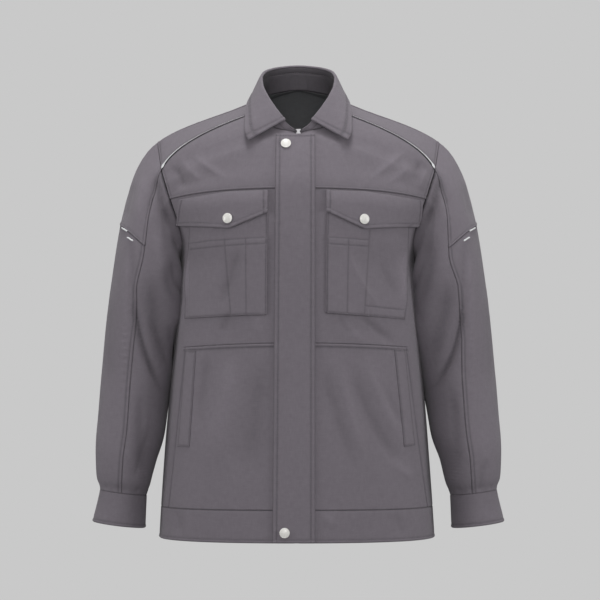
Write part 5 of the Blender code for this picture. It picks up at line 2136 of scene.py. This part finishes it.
@dataclass
class FrontDetails:
    """The chest pockets, their flaps, the welts of the lower pockets, and the placket.

    Attributes:
        patch: The edges of pockets and welts.
        flap: A flap's free edges.
        long: The placket's long edges.
        top: The placket's upper edge.
    """

    patch: Edge = EDGE_STITCHED
    flap: Edge = TURNED
    long: Edge = Edge(roll=1.1 * MM, reach=2.4 * MM, rows=(6.6 * MM,), pad=0.35 * MM)
    top: Edge = Edge(roll=1.0 * MM, rows=(5.4 * MM,), pad=0.3 * MM)

    def pieces(self) -> list[LaidPiece]:
        """List every laid piece.

        Returns:
            The pieces, from below upwards.
        """
        patch, flap = self.patch, self.flap
        made = []
        for side, word in BOTH_SIDES:
            panel = f"middle_front_{word}_cloth"
            made += [
                LaidPiece(
                    f"chest_pocket_{word}", side, POCKETS[side], POCKET_LIFT, POCKET_CLOTH,
                    edged(patch, patch, patch, None), 1.5 * MM, marks=POCKET_MARKS[side], resting=(panel,),
                ),
                LaidPiece(
                    f"flap_{word}", side, FLAPS[side], FLAP_LIFT, FLAP_CLOTH,
                    edged(flap, flap, flap, SEWN), 1.8 * MM, FLAP_SEAM_LIFT,
                    resting=(f"chest_pocket_{word}_cloth",),
                ),
                LaidPiece(
                    f"welt_{word}", side, WELTS[side], WELT_LIFT, WELT_CLOTH,
                    edged(patch, patch, patch, patch), 1.8 * MM, resting=(panel,),
                ),
            ]
        made.append(
            LaidPiece(
                "placket", 0, PLACKET, PLACKET_LIFT, PLACKET_CLOTH,
                edged(self.long, self.long, HEMMED, self.top), 2.6 * MM,
                resting=("lower_front_left_cloth", "lower_front_right_cloth"),
            )
        )
        return made

    def build(self, finishes: Finishes) -> None:
        """Make them all."""
        for piece in self.pieces():
            piece.build(finishes)


# ---------------- reflective piping
class Dash(NamedTuple):
    """A length of piping over a sleeve: the shares of the way round, heights and width in millimetres."""

    name: str
    from_around: float
    from_z: float
    to_around: float
    to_z: float
    width: float


PIPING_POINTS, YOKE_POINTS, DASH_POINTS = 9, 140, 40


@dataclass
class Piping:
    """Reflective cord along a line: a flattened half round, swept along it and tapered at its ends.

    Attributes:
        lift: How far its underside is off the cloth.
        height: How far its crown stands above that.
        full_width: The width from which it has that height.
        taper: Over how many of its points each end tapers.
        above_seam: How far past the seam's row it lies.
        yoke: The shares of the seam's row and its width there, in millimetres.
        dashes: The lengths over each sleeve.
    """

    lift: float = 0.9 * MM
    height: float = 1.3 * MM
    full_width: float = 2.4 * MM
    taper: int = 3
    above_seam: float = 0.02
    yoke: tuple[Pair, ...] = (
        (0.12, 0.3), (0.5, 0.4), (0.65, 0.8), (0.8, 1.4),
        (0.92, 2.2), (0.942, 4.8), (0.966, 5.2), (0.985, 3.4),
    )
    dashes: tuple[Dash, ...] = (
        Dash("sleeve_piping", 0.032, -198.4, 0.063, -203.6, 2.6),
        Dash("sleeve_dash", 0.066, -214, 0.090, -219.4, 2.5),
    )

    def sweep(self, points: Array, normals: Array, width: Array) -> Shell:
        """Carry the section along a line: a half round over a flat underside.

        Args:
            points: The line's points.
            normals: The cloth's normals there.
            width: The piping's width there.

        Returns:
            The shell.
        """
        across = np.cross(normals, unit(np.gradient(points, axis=0)))
        turn = np.linspace(0, math.pi, PIPING_POINTS)
        wide, high = np.cos(turn), np.sin(turn) ** 0.8
        order = np.arange(len(points))
        ends = np.clip(np.minimum(order, order[::-1]) / self.taper, 0.25, 1) ** 0.5
        tall = self.height * ends * np.minimum(width / self.full_width, 1)
        line = points[:, None] + across[:, None] * (wide[None, :, None] * (width * ends)[:, None, None] / 2)
        crown = line + normals[:, None] * (self.lift + high[None, :, None] * tall[:, None, None])
        base = line + normals[:, None] * (self.lift - 0.05 * MM)
        cut = np.stack(np.broadcast_arrays(wide[None, :] * 2 * MM, lengths(points)[:, None]), axis=2)
        normals = np.repeat(normals[:, None], PIPING_POINTS, axis=1)
        return wall(crown, base, normals, cut, np.zeros(crown.shape[:2]))

    def sleeve_line(self, dash: Dash, side: int) -> Path:
        """The line over a sleeve at the dash's heights, smoothed to a cubic.

        Args:
            dash: The dash.
            side: 1 for the wearer's left sleeve and -1 for the right.

        Returns:
            The line's points and normals.
        """
        around = np.linspace(dash.from_around, dash.to_around, DASH_POINTS)
        heights = np.linspace(dash.from_z, dash.to_z, DASH_POINTS) * MM
        along = SLEEVE.level_with(around, heights, 2, 500)
        return SLEEVE.worn(around, np.poly1d(np.polyfit(around, along, 3))(around), side)

    def piece(self, name: str, line: Path, width: Array, finishes: Finishes) -> None:
        """Make one length of it, in the place of its solid."""
        made = self.sweep(*line, width).build(f"{name}_cord")
        stand_in(made, name, "reflective_piping", finishes.silver)

    def build(self, finishes: Finishes) -> None:
        """Make the yokes' piping and the sleeves' dashes.

        Args:
            finishes: The jacket's finishes.
        """
        share_at, width_at = np.array(self.yoke).T
        share = np.linspace(share_at[0], share_at[-1], YOKE_POINTS)
        width = np.interp(share, share_at, width_at) * MM
        row = np.full(share.shape, PIPING + self.above_seam)
        for side, word in BOTH_SIDES:
            self.piece(f"yoke_piping_{word}", FRONT.worn(share, row, side), width, finishes)
            for dash in self.dashes:
                line = self.sleeve_line(dash, side)
                width_there = np.full(DASH_POINTS, dash.width * MM)
                self.piece(f"{dash.name}_{word}", line, width_there, finishes)


# ---------------- snaps and zip
@dataclass(frozen=True)
class Snap:
    """A press-stud's enamelled cap: its profile turned about the cloth's normal.

    Attributes:
        name: The end of the solid's name.
        x: Its place in the front view, in millimetres.
        z: The same.
        lift: How far the cloth's face is off the panel there.
        profile: Its radius and height from the axis out and back, in millimetres.
    """

    name: str
    x: float
    z: float
    lift: float
    profile: tuple[Pair, ...] = (
        (0, 0), (5.2, 0), (7.3, 0.25), (7.9, 0.7), (8.0, 1.1), (7.85, 1.5), (7.4, 1.85), (6.9, 1.95),
        (6.5, 1.8), (6.2, 1.8), (5.8, 2.05), (4.6, 2.4), (3.0, 2.65), (1.4, 2.78), (0, 2.8),
    )

    def build(self, finishes: Finishes) -> None:
        """Turn the profile about the normal and close it at the axis.

        Args:
            finishes: The jacket's finishes.
        """
        found = FRONT.find(np.array([abs(self.x) * MM]), np.array([self.z * MM]))
        base, normal = (values[0] for values in FRONT.worn(*found, 1 if self.x > 0 else -1))
        centre = base + normal * (self.lift + 1.5 * SEAM_GAP)
        right = unit(np.cross(normal, np.array([0, 0, 1.0])))
        above = np.cross(right, normal)
        turn = np.linspace(0, 2 * math.pi, 48, endpoint=False)[:, None]
        around = np.cos(turn) * right + np.sin(turn) * above
        radius, height = (np.array(self.profile) * MM).T
        rings = centre + radius[1:-1, None, None] * around + height[1:-1, None, None] * normal
        cap = turned(rings, centre + height[[0, -1], None] * normal).build(f"snap_{self.name}_cap")
        stand_in(cap, f"snap_{self.name}", "snap_cap", finishes.enamel)


SNAPS = (
    Snap("placket_top", -19.2, -70, PLACKET_LIFT + PLACKET_CLOTH),
    Snap("placket_hem", -17.9, -674.6, PLACKET_LIFT + PLACKET_CLOTH),
    Snap("flap_right", -106.7, -185.8, FLAP_LIFT + FLAP_CLOTH),
    Snap("flap_left", 101.2, -187.2, FLAP_LIFT + FLAP_CLOTH),
)


@dataclass
class Zip:
    """The zip behind the placket: two woven tapes, their moulded teeth, and the slider at its top.

    Attributes:
        step: About how far apart the lines of a tape's grid are.
        pitch: From one tooth to the next on the same tape.
        top: Where the teeth end, in millimetres below the neck.
        bottom: Where they start.
        tooth: How far one reaches across, its thickness and its height.
        root: How far from the centre line it stands on its tape.
        depth: How far it goes behind the tape.
        slider_outline: The slider's half width at each height, in millimetres.
        slider_y: Its front and back.
        oblong: The power that makes its section oblong.
    """

    step: float = 3.0 * MM
    pitch: float = 2.9 * MM
    top: float = -57.0
    bottom: float = -684.0
    tooth: tuple[float, float, float] = (3.1 * MM, 2.0 * MM, 1.25 * MM)
    root: float = 2.4 * MM
    depth: float = 0.9 * MM
    slider_outline: tuple[Pair, ...] = (
        (-52.5, 3.4), (-51.6, 3.6), (-51, 3.5), (-49.8, 2.6), (-48.6, 2.0), (-47.4, 2.9), (-46.2, 3.8),
        (-45.6, 3.9), (-45.2, 3.6),
    )
    slider_y: Pair = (-102.6, -99.0)
    oblong: float = 0.4

    def tapes(self, finishes: Finishes) -> None:
        """Make the tapes, which lie behind the front edges, and their teeth.

        Args:
            finishes: The jacket's finishes.
        """
        lift = -(CLOTH + ZIP_TAPE_CLOTH + 1.5 * SEAM_GAP)
        for side, word in BOTH_SIDES:
            node = f"zip_tape_{word}"
            laid = LaidPiece(node, side, ZIP_TAPE, lift, ZIP_TAPE_CLOTH, {}, self.step)
            shell, _, (width, length, _) = laid.area().sew()
            tape = shell.build(f"{node}_woven")
            stand_in(tape, node, "zip_tape", finishes.tape, finishes.tape)
            teeth = self.teeth(side).build(f"zip_teeth_{word}")
            fit(teeth, "zip_tape", finishes.moulded)

    def teeth(self, side: int) -> Shell:
        """Set one tape's teeth: small blocks that reach across the centre line between the other's.

        Args:
            side: 1 for the wearer's left tape and -1 for the right.

        Returns:
            The teeth as one shell.
        """
        z = np.arange(self.bottom * MM + (self.pitch / 2 if side == 1 else 0), self.top * MM, self.pitch)
        points, normals = FRONT.worn(*FRONT.find(np.full(z.shape, self.root), z), side)
        level = np.array([0.0, 1.0, 1.0])
        normals, up = unit(normals * level), unit(np.gradient(points * level, axis=0))
        across = np.array([1.0, 0, 0]) * side
        reach, thick, tall = self.tooth
        start = points - across * reach - normals * (CLOTH + ZIP_TAPE_CLOTH + self.depth)
        block = np.array([[x, y, h] for h in (-0.5, 0.5) for x, y in ((0, 0), (1, 0), (1, 1), (0, 1))])
        verts = (
            start[:, None]
            + across * (block[:, 0] * reach)[:, None]
            + normals[:, None] * (block[:, 1] * thick)[:, None]
            + up[:, None] * (block[:, 2] * tall)[:, None]
        )
        cube = np.array([[0, 3, 2, 1], [4, 5, 6, 7], [0, 1, 5, 4], [1, 2, 6, 5], [2, 3, 7, 6], [3, 0, 4, 7]])
        a, b, d = verts[0, 4], verts[0, 5], verts[0, 7]
        if np.dot(np.cross(b - a, d - a), a - verts[0, 0]) < 0:
            cube = cube[:, ::-1]
        faces = cube[None] + 8 * np.arange(len(verts))[:, None, None]
        return Shell.plain(verts.reshape(-1, 3), faces.reshape(-1, 4))

    def slider(self, finishes: Finishes) -> None:
        """Make the slider: a rounded oblong section, as wide at each height as the outline says.

        Args:
            finishes: The jacket's finishes.
        """
        height, half_width = (np.array(self.slider_outline) * MM).T
        front, back = (y * MM for y in self.slider_y)
        turn = np.linspace(0, 2 * math.pi, 32, endpoint=False)
        wide, deep = (np.sign(f) * np.abs(f) ** self.oblong for f in (np.cos(turn), np.sin(turn)))
        x = half_width[:, None] * wide
        y = (front + back) / 2 + (back - front) / 2 * deep + 0 * x
        rings = np.stack([x, y, height[:, None] + 0 * x], axis=2)
        slider = turned(rings, rings[[0, -1]].mean(1)).build("zip_slider_body")
        stand_in(slider, "zip_slider", "snap_cap", finishes.moulded)

    def build(self, finishes: Finishes) -> None:
        """Make the tapes, teeth and slider."""
        self.tapes(finishes)
        self.slider(finishes)


# ---------------- materials
Socket = bpy.types.NodeSocket
Colour = tuple[float, float, float]
Value = float | tuple[float, ...] | Socket
Inputs = dict[str | int, Value]

SLUB_LONG, SLUB_SHORT = 900.0, 60.0  # a slub's scales across its thread and along it, for each metre
SLUB, WEAVE_SHADE = 0.5, 0.5  # how much thicker slubs are, and how much the weave varies the colour
MOTTLE_HEIGHT = 0.00025
GLOSSIER, DULLER = 0.06, 0.08  # how far below and above its mean a trim's roughness goes
NODES_IN_ROW, NODE_WIDTH, NODE_HEIGHT = 8, 220, 260  # how a tree's nodes are set out


class Graph:
    """A node tree under construction."""

    def __init__(self, tree: bpy.types.NodeTree) -> None:
        """Start on an empty tree."""
        self.tree = tree
        self.count = 0

    def fill(self, node: bpy.types.Node, values: Inputs) -> None:
        """Set a node's inputs.

        Args:
            node: The node.
            values: A constant or another node's output for each input named or numbered here.
        """
        for key, value in values.items():
            if isinstance(value, bpy.types.NodeSocket):
                self.tree.links.new(value, node.inputs[key])
            else:
                node.inputs[key].default_value = value

    def add(self, kind: str, values: Inputs | None = None, **settings: object) -> bpy.types.Node:
        """Add a node.

        Args:
            kind: Its type, without the leading ShaderNode.
            values: What goes into its inputs, by name or number: a constant or another's output.
            **settings: Its own properties.

        Returns:
            The node.
        """
        node = self.tree.nodes.new(kind if kind.startswith("Node") else f"ShaderNode{kind}")
        row, place = divmod(self.count, NODES_IN_ROW)
        node.location = (NODE_WIDTH * place, -NODE_HEIGHT * row)
        self.count += 1
        for name, setting in settings.items():
            setattr(node, name, setting)
        self.fill(node, values or {})
        return node

    def maths(self, operation: str, *values: Value) -> Socket:
        """The result of a sum on numbers."""
        return self.add("Math", dict(enumerate(values)), operation=operation).outputs[0]

    def plus(self, first: Value, second: Value) -> Socket:
        """The sum of two numbers."""
        return self.maths("ADD", first, second)

    def minus(self, first: Value, second: Value) -> Socket:
        """The first number less the second."""
        return self.maths("SUBTRACT", first, second)

    def times(self, first: Value, second: Value) -> Socket:
        """The product of two numbers."""
        return self.maths("MULTIPLY", first, second)

    def stretch(self, value: Value, low: float, high: float, start: float, end: float) -> Socket:
        """A number taken from between low and high to between start and end, and held there."""
        inputs = {"Value": value, "From Min": low, "From Max": high, "To Min": start, "To Max": end}
        return self.add("MapRange", inputs).outputs[0]

    def noise(self, vector: Socket, scale: float, detail: float = 2.0, roughness: float = 0.5) -> Socket:
        """Fractal noise about 0.5."""
        inputs = {"Vector": vector, "Scale": scale, "Detail": detail, "Roughness": roughness}
        return self.add("TexNoise", inputs).outputs["Fac"]

    def mixed(self, share: Value, first: Value, second: Value, blend: str = "MIX") -> Socket:
        """Two colours mixed."""
        node = self.add("Mix", {0: share, 6: first, 7: second}, data_type="RGBA", blend_type=blend)
        return node.outputs[2]

    def bump(self, height: Socket, strength: float) -> Socket:
        """The normal that a height in metres gives."""
        return self.add("Bump", {"Height": height, "Strength": strength, "Distance": 1.0}).outputs[0]


def new_group(name: str, inputs: dict[str, str], outputs: dict[str, str]) -> tuple[Graph, bpy.types.Node]:
    """Start a node group.

    Args:
        name: Its name.
        inputs: The kind of each of its inputs, by name.
        outputs: The kind of each of its outputs.

    Returns:
        The group's graph and its input node.
    """
    tree = bpy.data.node_groups.new(name, "ShaderNodeTree")
    for names, direction in ((inputs, "INPUT"), (outputs, "OUTPUT")):
        for socket, kind in names.items():
            tree.interface.new_socket(socket, in_out=direction, socket_type=f"NodeSocket{kind}")
    graph = Graph(tree)
    return graph, graph.add("NodeGroupInput")


def weave_group() -> bpy.types.NodeTree:
    """Make a twill: warp and weft as two sets of round threads, with diagonal ribs of floats.

    The height is the sum of a rib's sine along the diagonal and of each thread's own. Slubs make
    patches of a thread thicker and lighter.

    Returns:
        The group's tree.
    """
    graph, given = new_group(
        "Twill weave",
        {"Cut": "Vector", "Threads per metre": "Float", "Slub": "Float"},
        {"Height": "Float", "Shade": "Float"},
    )
    cut = given.outputs["Cut"]
    split = graph.add("SeparateXYZ", {0: cut}).outputs
    density = given.outputs["Threads per metre"]
    u, v = (graph.times(split[k], density) for k in (0, 1))
    rib = graph.maths("SINE", graph.plus(graph.times(u, math.pi), graph.times(v, math.pi / 2)))
    warp, weft = (graph.maths("SINE", graph.times(k, 2 * math.pi)) for k in (u, v))
    threads = graph.plus(graph.times(warp, 0.6), graph.times(weft, 0.4))
    height = graph.plus(graph.times(rib, 0.7), graph.times(threads, 0.3))
    noises = []
    for scale in ((SLUB_LONG, SLUB_SHORT, 1.0), (SLUB_SHORT, SLUB_LONG, 1.0)):
        drawn = graph.add("Mapping", {"Vector": cut, "Scale": scale}, vector_type="POINT").outputs[0]
        noises.append(graph.noise(drawn, 1.0, 3.0, 0.6))
    slubs = graph.times(graph.minus(graph.plus(*noises), 1.0), given.outputs["Slub"])
    out = {"Height": graph.plus(height, slubs), "Shade": graph.plus(graph.times(height, 0.10), slubs)}
    graph.add("NodeGroupOutput", out)
    return graph.tree


def wear_and_shade_group() -> bpy.types.NodeTree:
    """Make broad worn patches and small mottling, and painted shade along seams and in creases.

    The broad patches and the mottling are noises on the object's own coordinates. The painted shade, with
    painted highlight on crease ridges, is the piece's own attribute, broken up by noise.

    Returns:
        The group's tree.
    """
    graph, given = new_group(
        "Wear and painted shade",
        {"Place": "Vector", "Seam": "Float", "Patches": "Float", "Mottle": "Float", "Seam shade": "Float"},
        {"Shade": "Float", "Height": "Float", "Roughness": "Float"},
    )
    at = given.outputs
    place = at["Place"]
    broad = graph.minus(graph.noise(place, 9.0, 3.0, 0.55), 0.5)
    small = graph.minus(graph.noise(place, 130.0, 4.0, 0.6), 0.5)
    broken = graph.stretch(graph.noise(place, 260.0, 2.0, 0.5), 0.3, 0.7, 0.65, 1.0)
    # painted shade along seams and in crease troughs, and painted highlight where it is negative, on crease
    # ridges
    seam = graph.times(graph.times(at["Seam"], broken), at["Seam shade"])
    shade = graph.plus(graph.times(broad, at["Patches"]), graph.times(small, at["Mottle"]))
    out = {
        "Shade": graph.minus(shade, seam),
        "Height": small,
        "Roughness": graph.stretch(broad, -0.3, 0.3, -0.05, 0.05),
    }
    graph.add("NodeGroupOutput", out)
    return graph.tree


def new_material(
    name: str, kind: str = "BsdfPrincipled"
) -> tuple[bpy.types.Material, Graph, bpy.types.Node]:
    """Start a material.

    Args:
        name: Its name.
        kind: The type of its shader.

    Returns:
        The material, its graph, and the shader that its surface comes from.
    """
    owner = bpy.data.materials.new(name)
    owner.use_nodes = True
    owner.node_tree.nodes.clear()
    graph = Graph(owner.node_tree)
    shader = graph.add(kind)
    graph.add("OutputMaterial", {"Surface": shader.outputs[0]})
    return owner, graph, shader


@dataclass(frozen=True)
class ClothFinish:
    """A woven cloth.

    Attributes:
        name: The material's name.
        colour: Its mean colour, linear.
        threads: Threads for each metre.
        roughness: Its mean roughness.
        sheen: The weight of its fuzz.
        weave: How deep the weave is, in metres.
        patches: How much broad patches vary.
        mottle: How much small mottling varies.
        seam_shade: How strongly painted shade darkens seams and crease troughs, and painted highlight
            lightens ridges.
    """

    name: str
    colour: Colour
    threads: float = 1900.0
    roughness: float = 0.82
    sheen: float = 0.12
    weave: float = 0.00006
    patches: float = 0.12
    mottle: float = 0.20
    seam_shade: float = 0.38

    def make(self, weave: bpy.types.NodeTree, wear_and_shade: bpy.types.NodeTree) -> bpy.types.Material:
        """Make its colour times one plus both groups' shades, and a bump from their heights.

        Args:
            weave: The weave's group.
            wear_and_shade: The group of worn patches and painted shade.

        Returns:
            The material.
        """
        owner, graph, shader = new_material(self.name)
        cut = graph.add("UVMap", uv_map="Cut").outputs[0]
        place = graph.add("TexCoord").outputs["Object"]
        # the seam attribute: painted shade along seams and in creases, and painted highlight on crease
        # ridges
        seam = graph.add("Attribute", attribute_name="seam").outputs["Fac"]
        # worn is the group of worn patches and painted shade
        woven, worn = (graph.add("Group", node_tree=tree) for tree in (weave, wear_and_shade))
        graph.fill(woven, {"Cut": cut, "Threads per metre": self.threads, "Slub": SLUB})
        amounts = {"Patches": self.patches, "Mottle": self.mottle, "Seam shade": self.seam_shade}
        graph.fill(worn, {"Place": place, "Seam": seam} | amounts)
        shade = graph.plus(graph.times(woven.outputs["Shade"], WEAVE_SHADE), worn.outputs["Shade"])
        shade = graph.maths("MAXIMUM", graph.plus(shade, 1.0), 0.1)
        grey = graph.add("CombineColor", {k: shade for k in range(3)}).outputs[0]
        height = graph.plus(
            graph.times(woven.outputs["Height"], self.weave),
            graph.times(worn.outputs["Height"], MOTTLE_HEIGHT),
        )
        looks = {
            "Base Color": graph.mixed(1.0, (*self.colour, 1.0), grey, "MULTIPLY"),
            "Roughness": graph.plus(worn.outputs["Roughness"], self.roughness),
            "Sheen Weight": self.sheen,
            "Sheen Roughness": 0.5,
            "Specular IOR Level": 0.25,
            "Normal": graph.bump(height, 0.8),
        }
        graph.fill(shader, looks)
        return owner


@dataclass(frozen=True)
class TrimFinish:
    """A hard or coated trim: its colour mottled, with a fine grain in its gloss and height.

    Attributes:
        name: The material's name.
        colour: Its mean colour, linear.
        dark: The colour of its mottling.
        mottled: How far the mottling goes, from 0 to 1.
        scale: The mottling's scale, for each metre.
        roughness: Its mean roughness.
        metallic: How metallic it is.
        grain: The grain's height in metres.
        grain_scale: The grain's scale, for each metre.
        coat: The weight of a clear coat.
    """

    name: str
    colour: Colour
    dark: Colour
    mottled: float
    scale: float
    roughness: float
    metallic: float = 0.0
    grain: float = 0.00002
    grain_scale: float = 4000.0
    coat: float = 0.0

    def make(self) -> bpy.types.Material:
        """Make its colour mottled by one noise, its gloss smeared by another, and its grain of cells.

        Returns:
            The material.
        """
        owner, graph, shader = new_material(self.name)
        place = graph.add("TexCoord").outputs["Object"]
        patches = graph.stretch(graph.noise(place, self.scale, 3.0, 0.6), 0.35, 0.7, 0.0, self.mottled)
        cells = graph.add("TexVoronoi", {"Vector": place, "Scale": self.grain_scale}).outputs["Distance"]
        smears = graph.noise(place, self.scale * 3, 2.0)
        gloss = self.roughness - GLOSSIER, self.roughness + DULLER
        looks = {
            "Base Color": graph.mixed(patches, (*self.colour, 1.0), (*self.dark, 1.0)),
            "Roughness": graph.stretch(smears, 0.3, 0.7, *gloss),
            "Metallic": self.metallic,
            "Coat Weight": self.coat,
            "Normal": graph.bump(graph.times(cells, self.grain), 1.0),
        }
        graph.fill(shader, looks)
        return owner


CLOTHS = {
    "cloth": ClothFinish("Grey twill", (0.168, 0.150, 0.172)),
    # the cloth at about half its brightness, as painted shade on the collar stand's face
    "facing": ClothFinish("Collar cloth with painted shade", (0.085, 0.077, 0.087)),
    "lining": ClothFinish("Dark lining", (0.050, 0.050, 0.053), 2600, 0.62, 0.05, patches=0.2),
    # the lining lightened nearly threefold, as painted light where the back's inside shows in the neck
    "inside": ClothFinish("Lining with painted light", (0.135, 0.137, 0.143), 2600, 0.62, 0.05, patches=0.2),
    "thread": ClothFinish("Grey thread", (0.135, 0.122, 0.140), 5000, 0.6, 0.2, seam_shade=0),
    "tape": ClothFinish("Zip tape", (0.035, 0.035, 0.038), 2200, 0.8, 0.1, 0.0001),
}
TRIMS = {
    "silver": TrimFinish(
        "Reflective silver", (0.86, 0.87, 0.88), (0.70, 0.71, 0.73), 0.5, 500, 0.38, 0.15, 0.00003, 6000
    ),
    "enamel": TrimFinish("Snap enamel", (0.80, 0.79, 0.76), (0.66, 0.63, 0.58), 0.5, 420, 0.3, coat=0.3),
    "moulded": TrimFinish("Moulded white", (0.62, 0.61, 0.63), (0.5, 0.49, 0.5), 0.4, 300, 0.35),
}


def make_finishes() -> Finishes:
    """Make every finish of the jacket.

    Returns:
        The finishes.
    """
    weave, wear_and_shade = weave_group(), wear_and_shade_group()
    made = {name: finish.make(weave, wear_and_shade) for name, finish in CLOTHS.items()}
    return Finishes(**made, **{name: finish.make() for name, finish in TRIMS.items()})


# ---------------- studio
ROOM_FRONT, ROOM_BACK, ROOM_SIDE, FLOOR, ROOM_HEIGHT = -3.6, 6.5, 5, -0.96, 4.5
RADIUS = 0.8  # of the turn between the floor and the wall
SWEEP_TURN = (0.35, 0.65)  # the shares of the sweep at which it starts and ends
SWEEP_ROWS, SWEEP_COLUMNS = 60, 12
SENSOR_WIDTH = 36  # in millimetres
LAMP_SIZE, LAMP_AIM = 0.9, (0, 0, -0.3)


class Lamp(NamedTuple):
    """A square soft light: its name, its place and its power in watts."""

    name: str
    place: tuple[float, float, float]
    power: float


@dataclass
class Studio:
    """A plain pale room: one backdrop that rises from the floor, soft lights and the camera.

    Attributes:
        backdrop: The backdrop's grey, linear.
        ambient: How strongly the surroundings light the jacket.
        distance: The camera's distance.
        centre: The x and z it looks at.
        lens: Its focal length in millimetres.
        lamps: A light at each side, one in front, one overhead and a weak one high in front.
    """

    backdrop: float = 0.584
    ambient: float = 0.42
    distance: float = 4.85
    centre: Pair = (2.5 * MM, -313 * MM)
    lens: float = 181.875
    lamps: tuple[Lamp, ...] = (
        Lamp("Left", (-2.5, -1.1, -0.1), 22),
        Lamp("Right", (2.5, -1.1, -0.1), 24.5),
        Lamp("Front", (0, -3.2, 0.2), 25),
        Lamp("Top", (0, -0.3, 2.6), 50),
        Lamp("Upper front", (0, -1.7, 2.1), 8),
    )

    def build(self) -> None:
        """Make them."""
        self.room()
        self.surroundings()
        self.lights()
        self.camera()
        view = bpy.context.scene.view_settings
        view.view_transform, view.look = "Standard", "None"

    def camera(self) -> None:
        """Set the camera straight in front."""
        camera = bpy.data.cameras.new("Camera")
        camera.sensor_width = SENSOR_WIDTH
        camera.lens = self.lens
        camera.clip_end = 50
        made = linked("Camera", camera)
        made.location = (self.centre[0], -self.distance, self.centre[1])
        made.rotation_euler = (math.pi / 2, 0, 0)
        bpy.context.scene.camera = made

    def room(self) -> None:
        """Make the floor and the wall behind as one sweep: flat, a quarter circle, then upright."""
        start, end = SWEEP_TURN
        run = np.linspace(0, 1, SWEEP_ROWS)[:, None]
        turn = np.clip((run - start) / (end - start), 0, 1) * math.pi / 2
        flat = np.clip(run / start, 0, 1)
        rise = np.clip((run - end) / (1 - end), 0, 1)
        y = between(ROOM_FRONT, ROOM_BACK - RADIUS, flat) + RADIUS * np.sin(turn)
        z = FLOOR + RADIUS * (1 - np.cos(turn)) + (ROOM_HEIGHT - RADIUS) * rise
        x = np.linspace(-ROOM_SIDE, ROOM_SIDE, SWEEP_COLUMNS)[None, :]
        points = np.stack(np.broadcast_arrays(x, y, z), axis=2)
        mesh = bpy.data.meshes.new("Backdrop")
        faces = grid_faces(SWEEP_ROWS, SWEEP_COLUMNS, False)
        mesh.from_pydata(points.reshape(-1, 3).tolist(), [], faces.tolist())
        mesh.shade_smooth()
        owner, graph, shader = new_material("Pale backdrop", "Emission")
        graph.fill(shader, {"Color": self.level(), "Strength": 1.0})
        mesh.materials.append(owner)
        made = linked("Backdrop", mesh)
        made.visible_diffuse = False
        made.visible_glossy = False

    def level(self) -> tuple[float, ...]:
        """The backdrop's colour."""
        return (self.backdrop,) * 3 + (1.0,)

    def surroundings(self) -> None:
        """Make the surroundings the backdrop's colour."""
        world = bpy.data.worlds.new("Studio")
        world.use_nodes = True
        inputs = world.node_tree.nodes["Background"].inputs
        inputs[0].default_value, inputs[1].default_value = self.level(), self.ambient
        bpy.context.scene.world = world

    def lights(self) -> None:
        """Hang the lights, each turned to the same point."""
        for name, place, power in self.lamps:
            lamp = bpy.data.lights.new(name, "AREA")
            lamp.shape, lamp.size, lamp.energy = "SQUARE", LAMP_SIZE, power
            made = linked(name, lamp)
            made.location = place
            towards = Vector(LAMP_AIM) - Vector(place)
            made.rotation_euler = towards.to_track_quat("-Z", "Y").to_euler()


# ---------------- the whole jacket
def main() -> None:
    """Build the studio and dress every solid."""
    logging.basicConfig(level=logging.INFO, format="%(message)s", stream=sys.stdout)
    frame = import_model()
    log.info("loaded %d solids", len(frame["nodes"]))
    Studio().build()
    finishes = make_finishes()
    BodyPanels().build(finishes)
    Sleeves().build(finishes)
    Collar().build(finishes)
    FrontDetails().build(finishes)
    Piping().build(finishes)
    for snap in SNAPS:
        snap.build(finishes)
    Zip().build(finishes)
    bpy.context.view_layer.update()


if __name__ == "__main__":
    main()
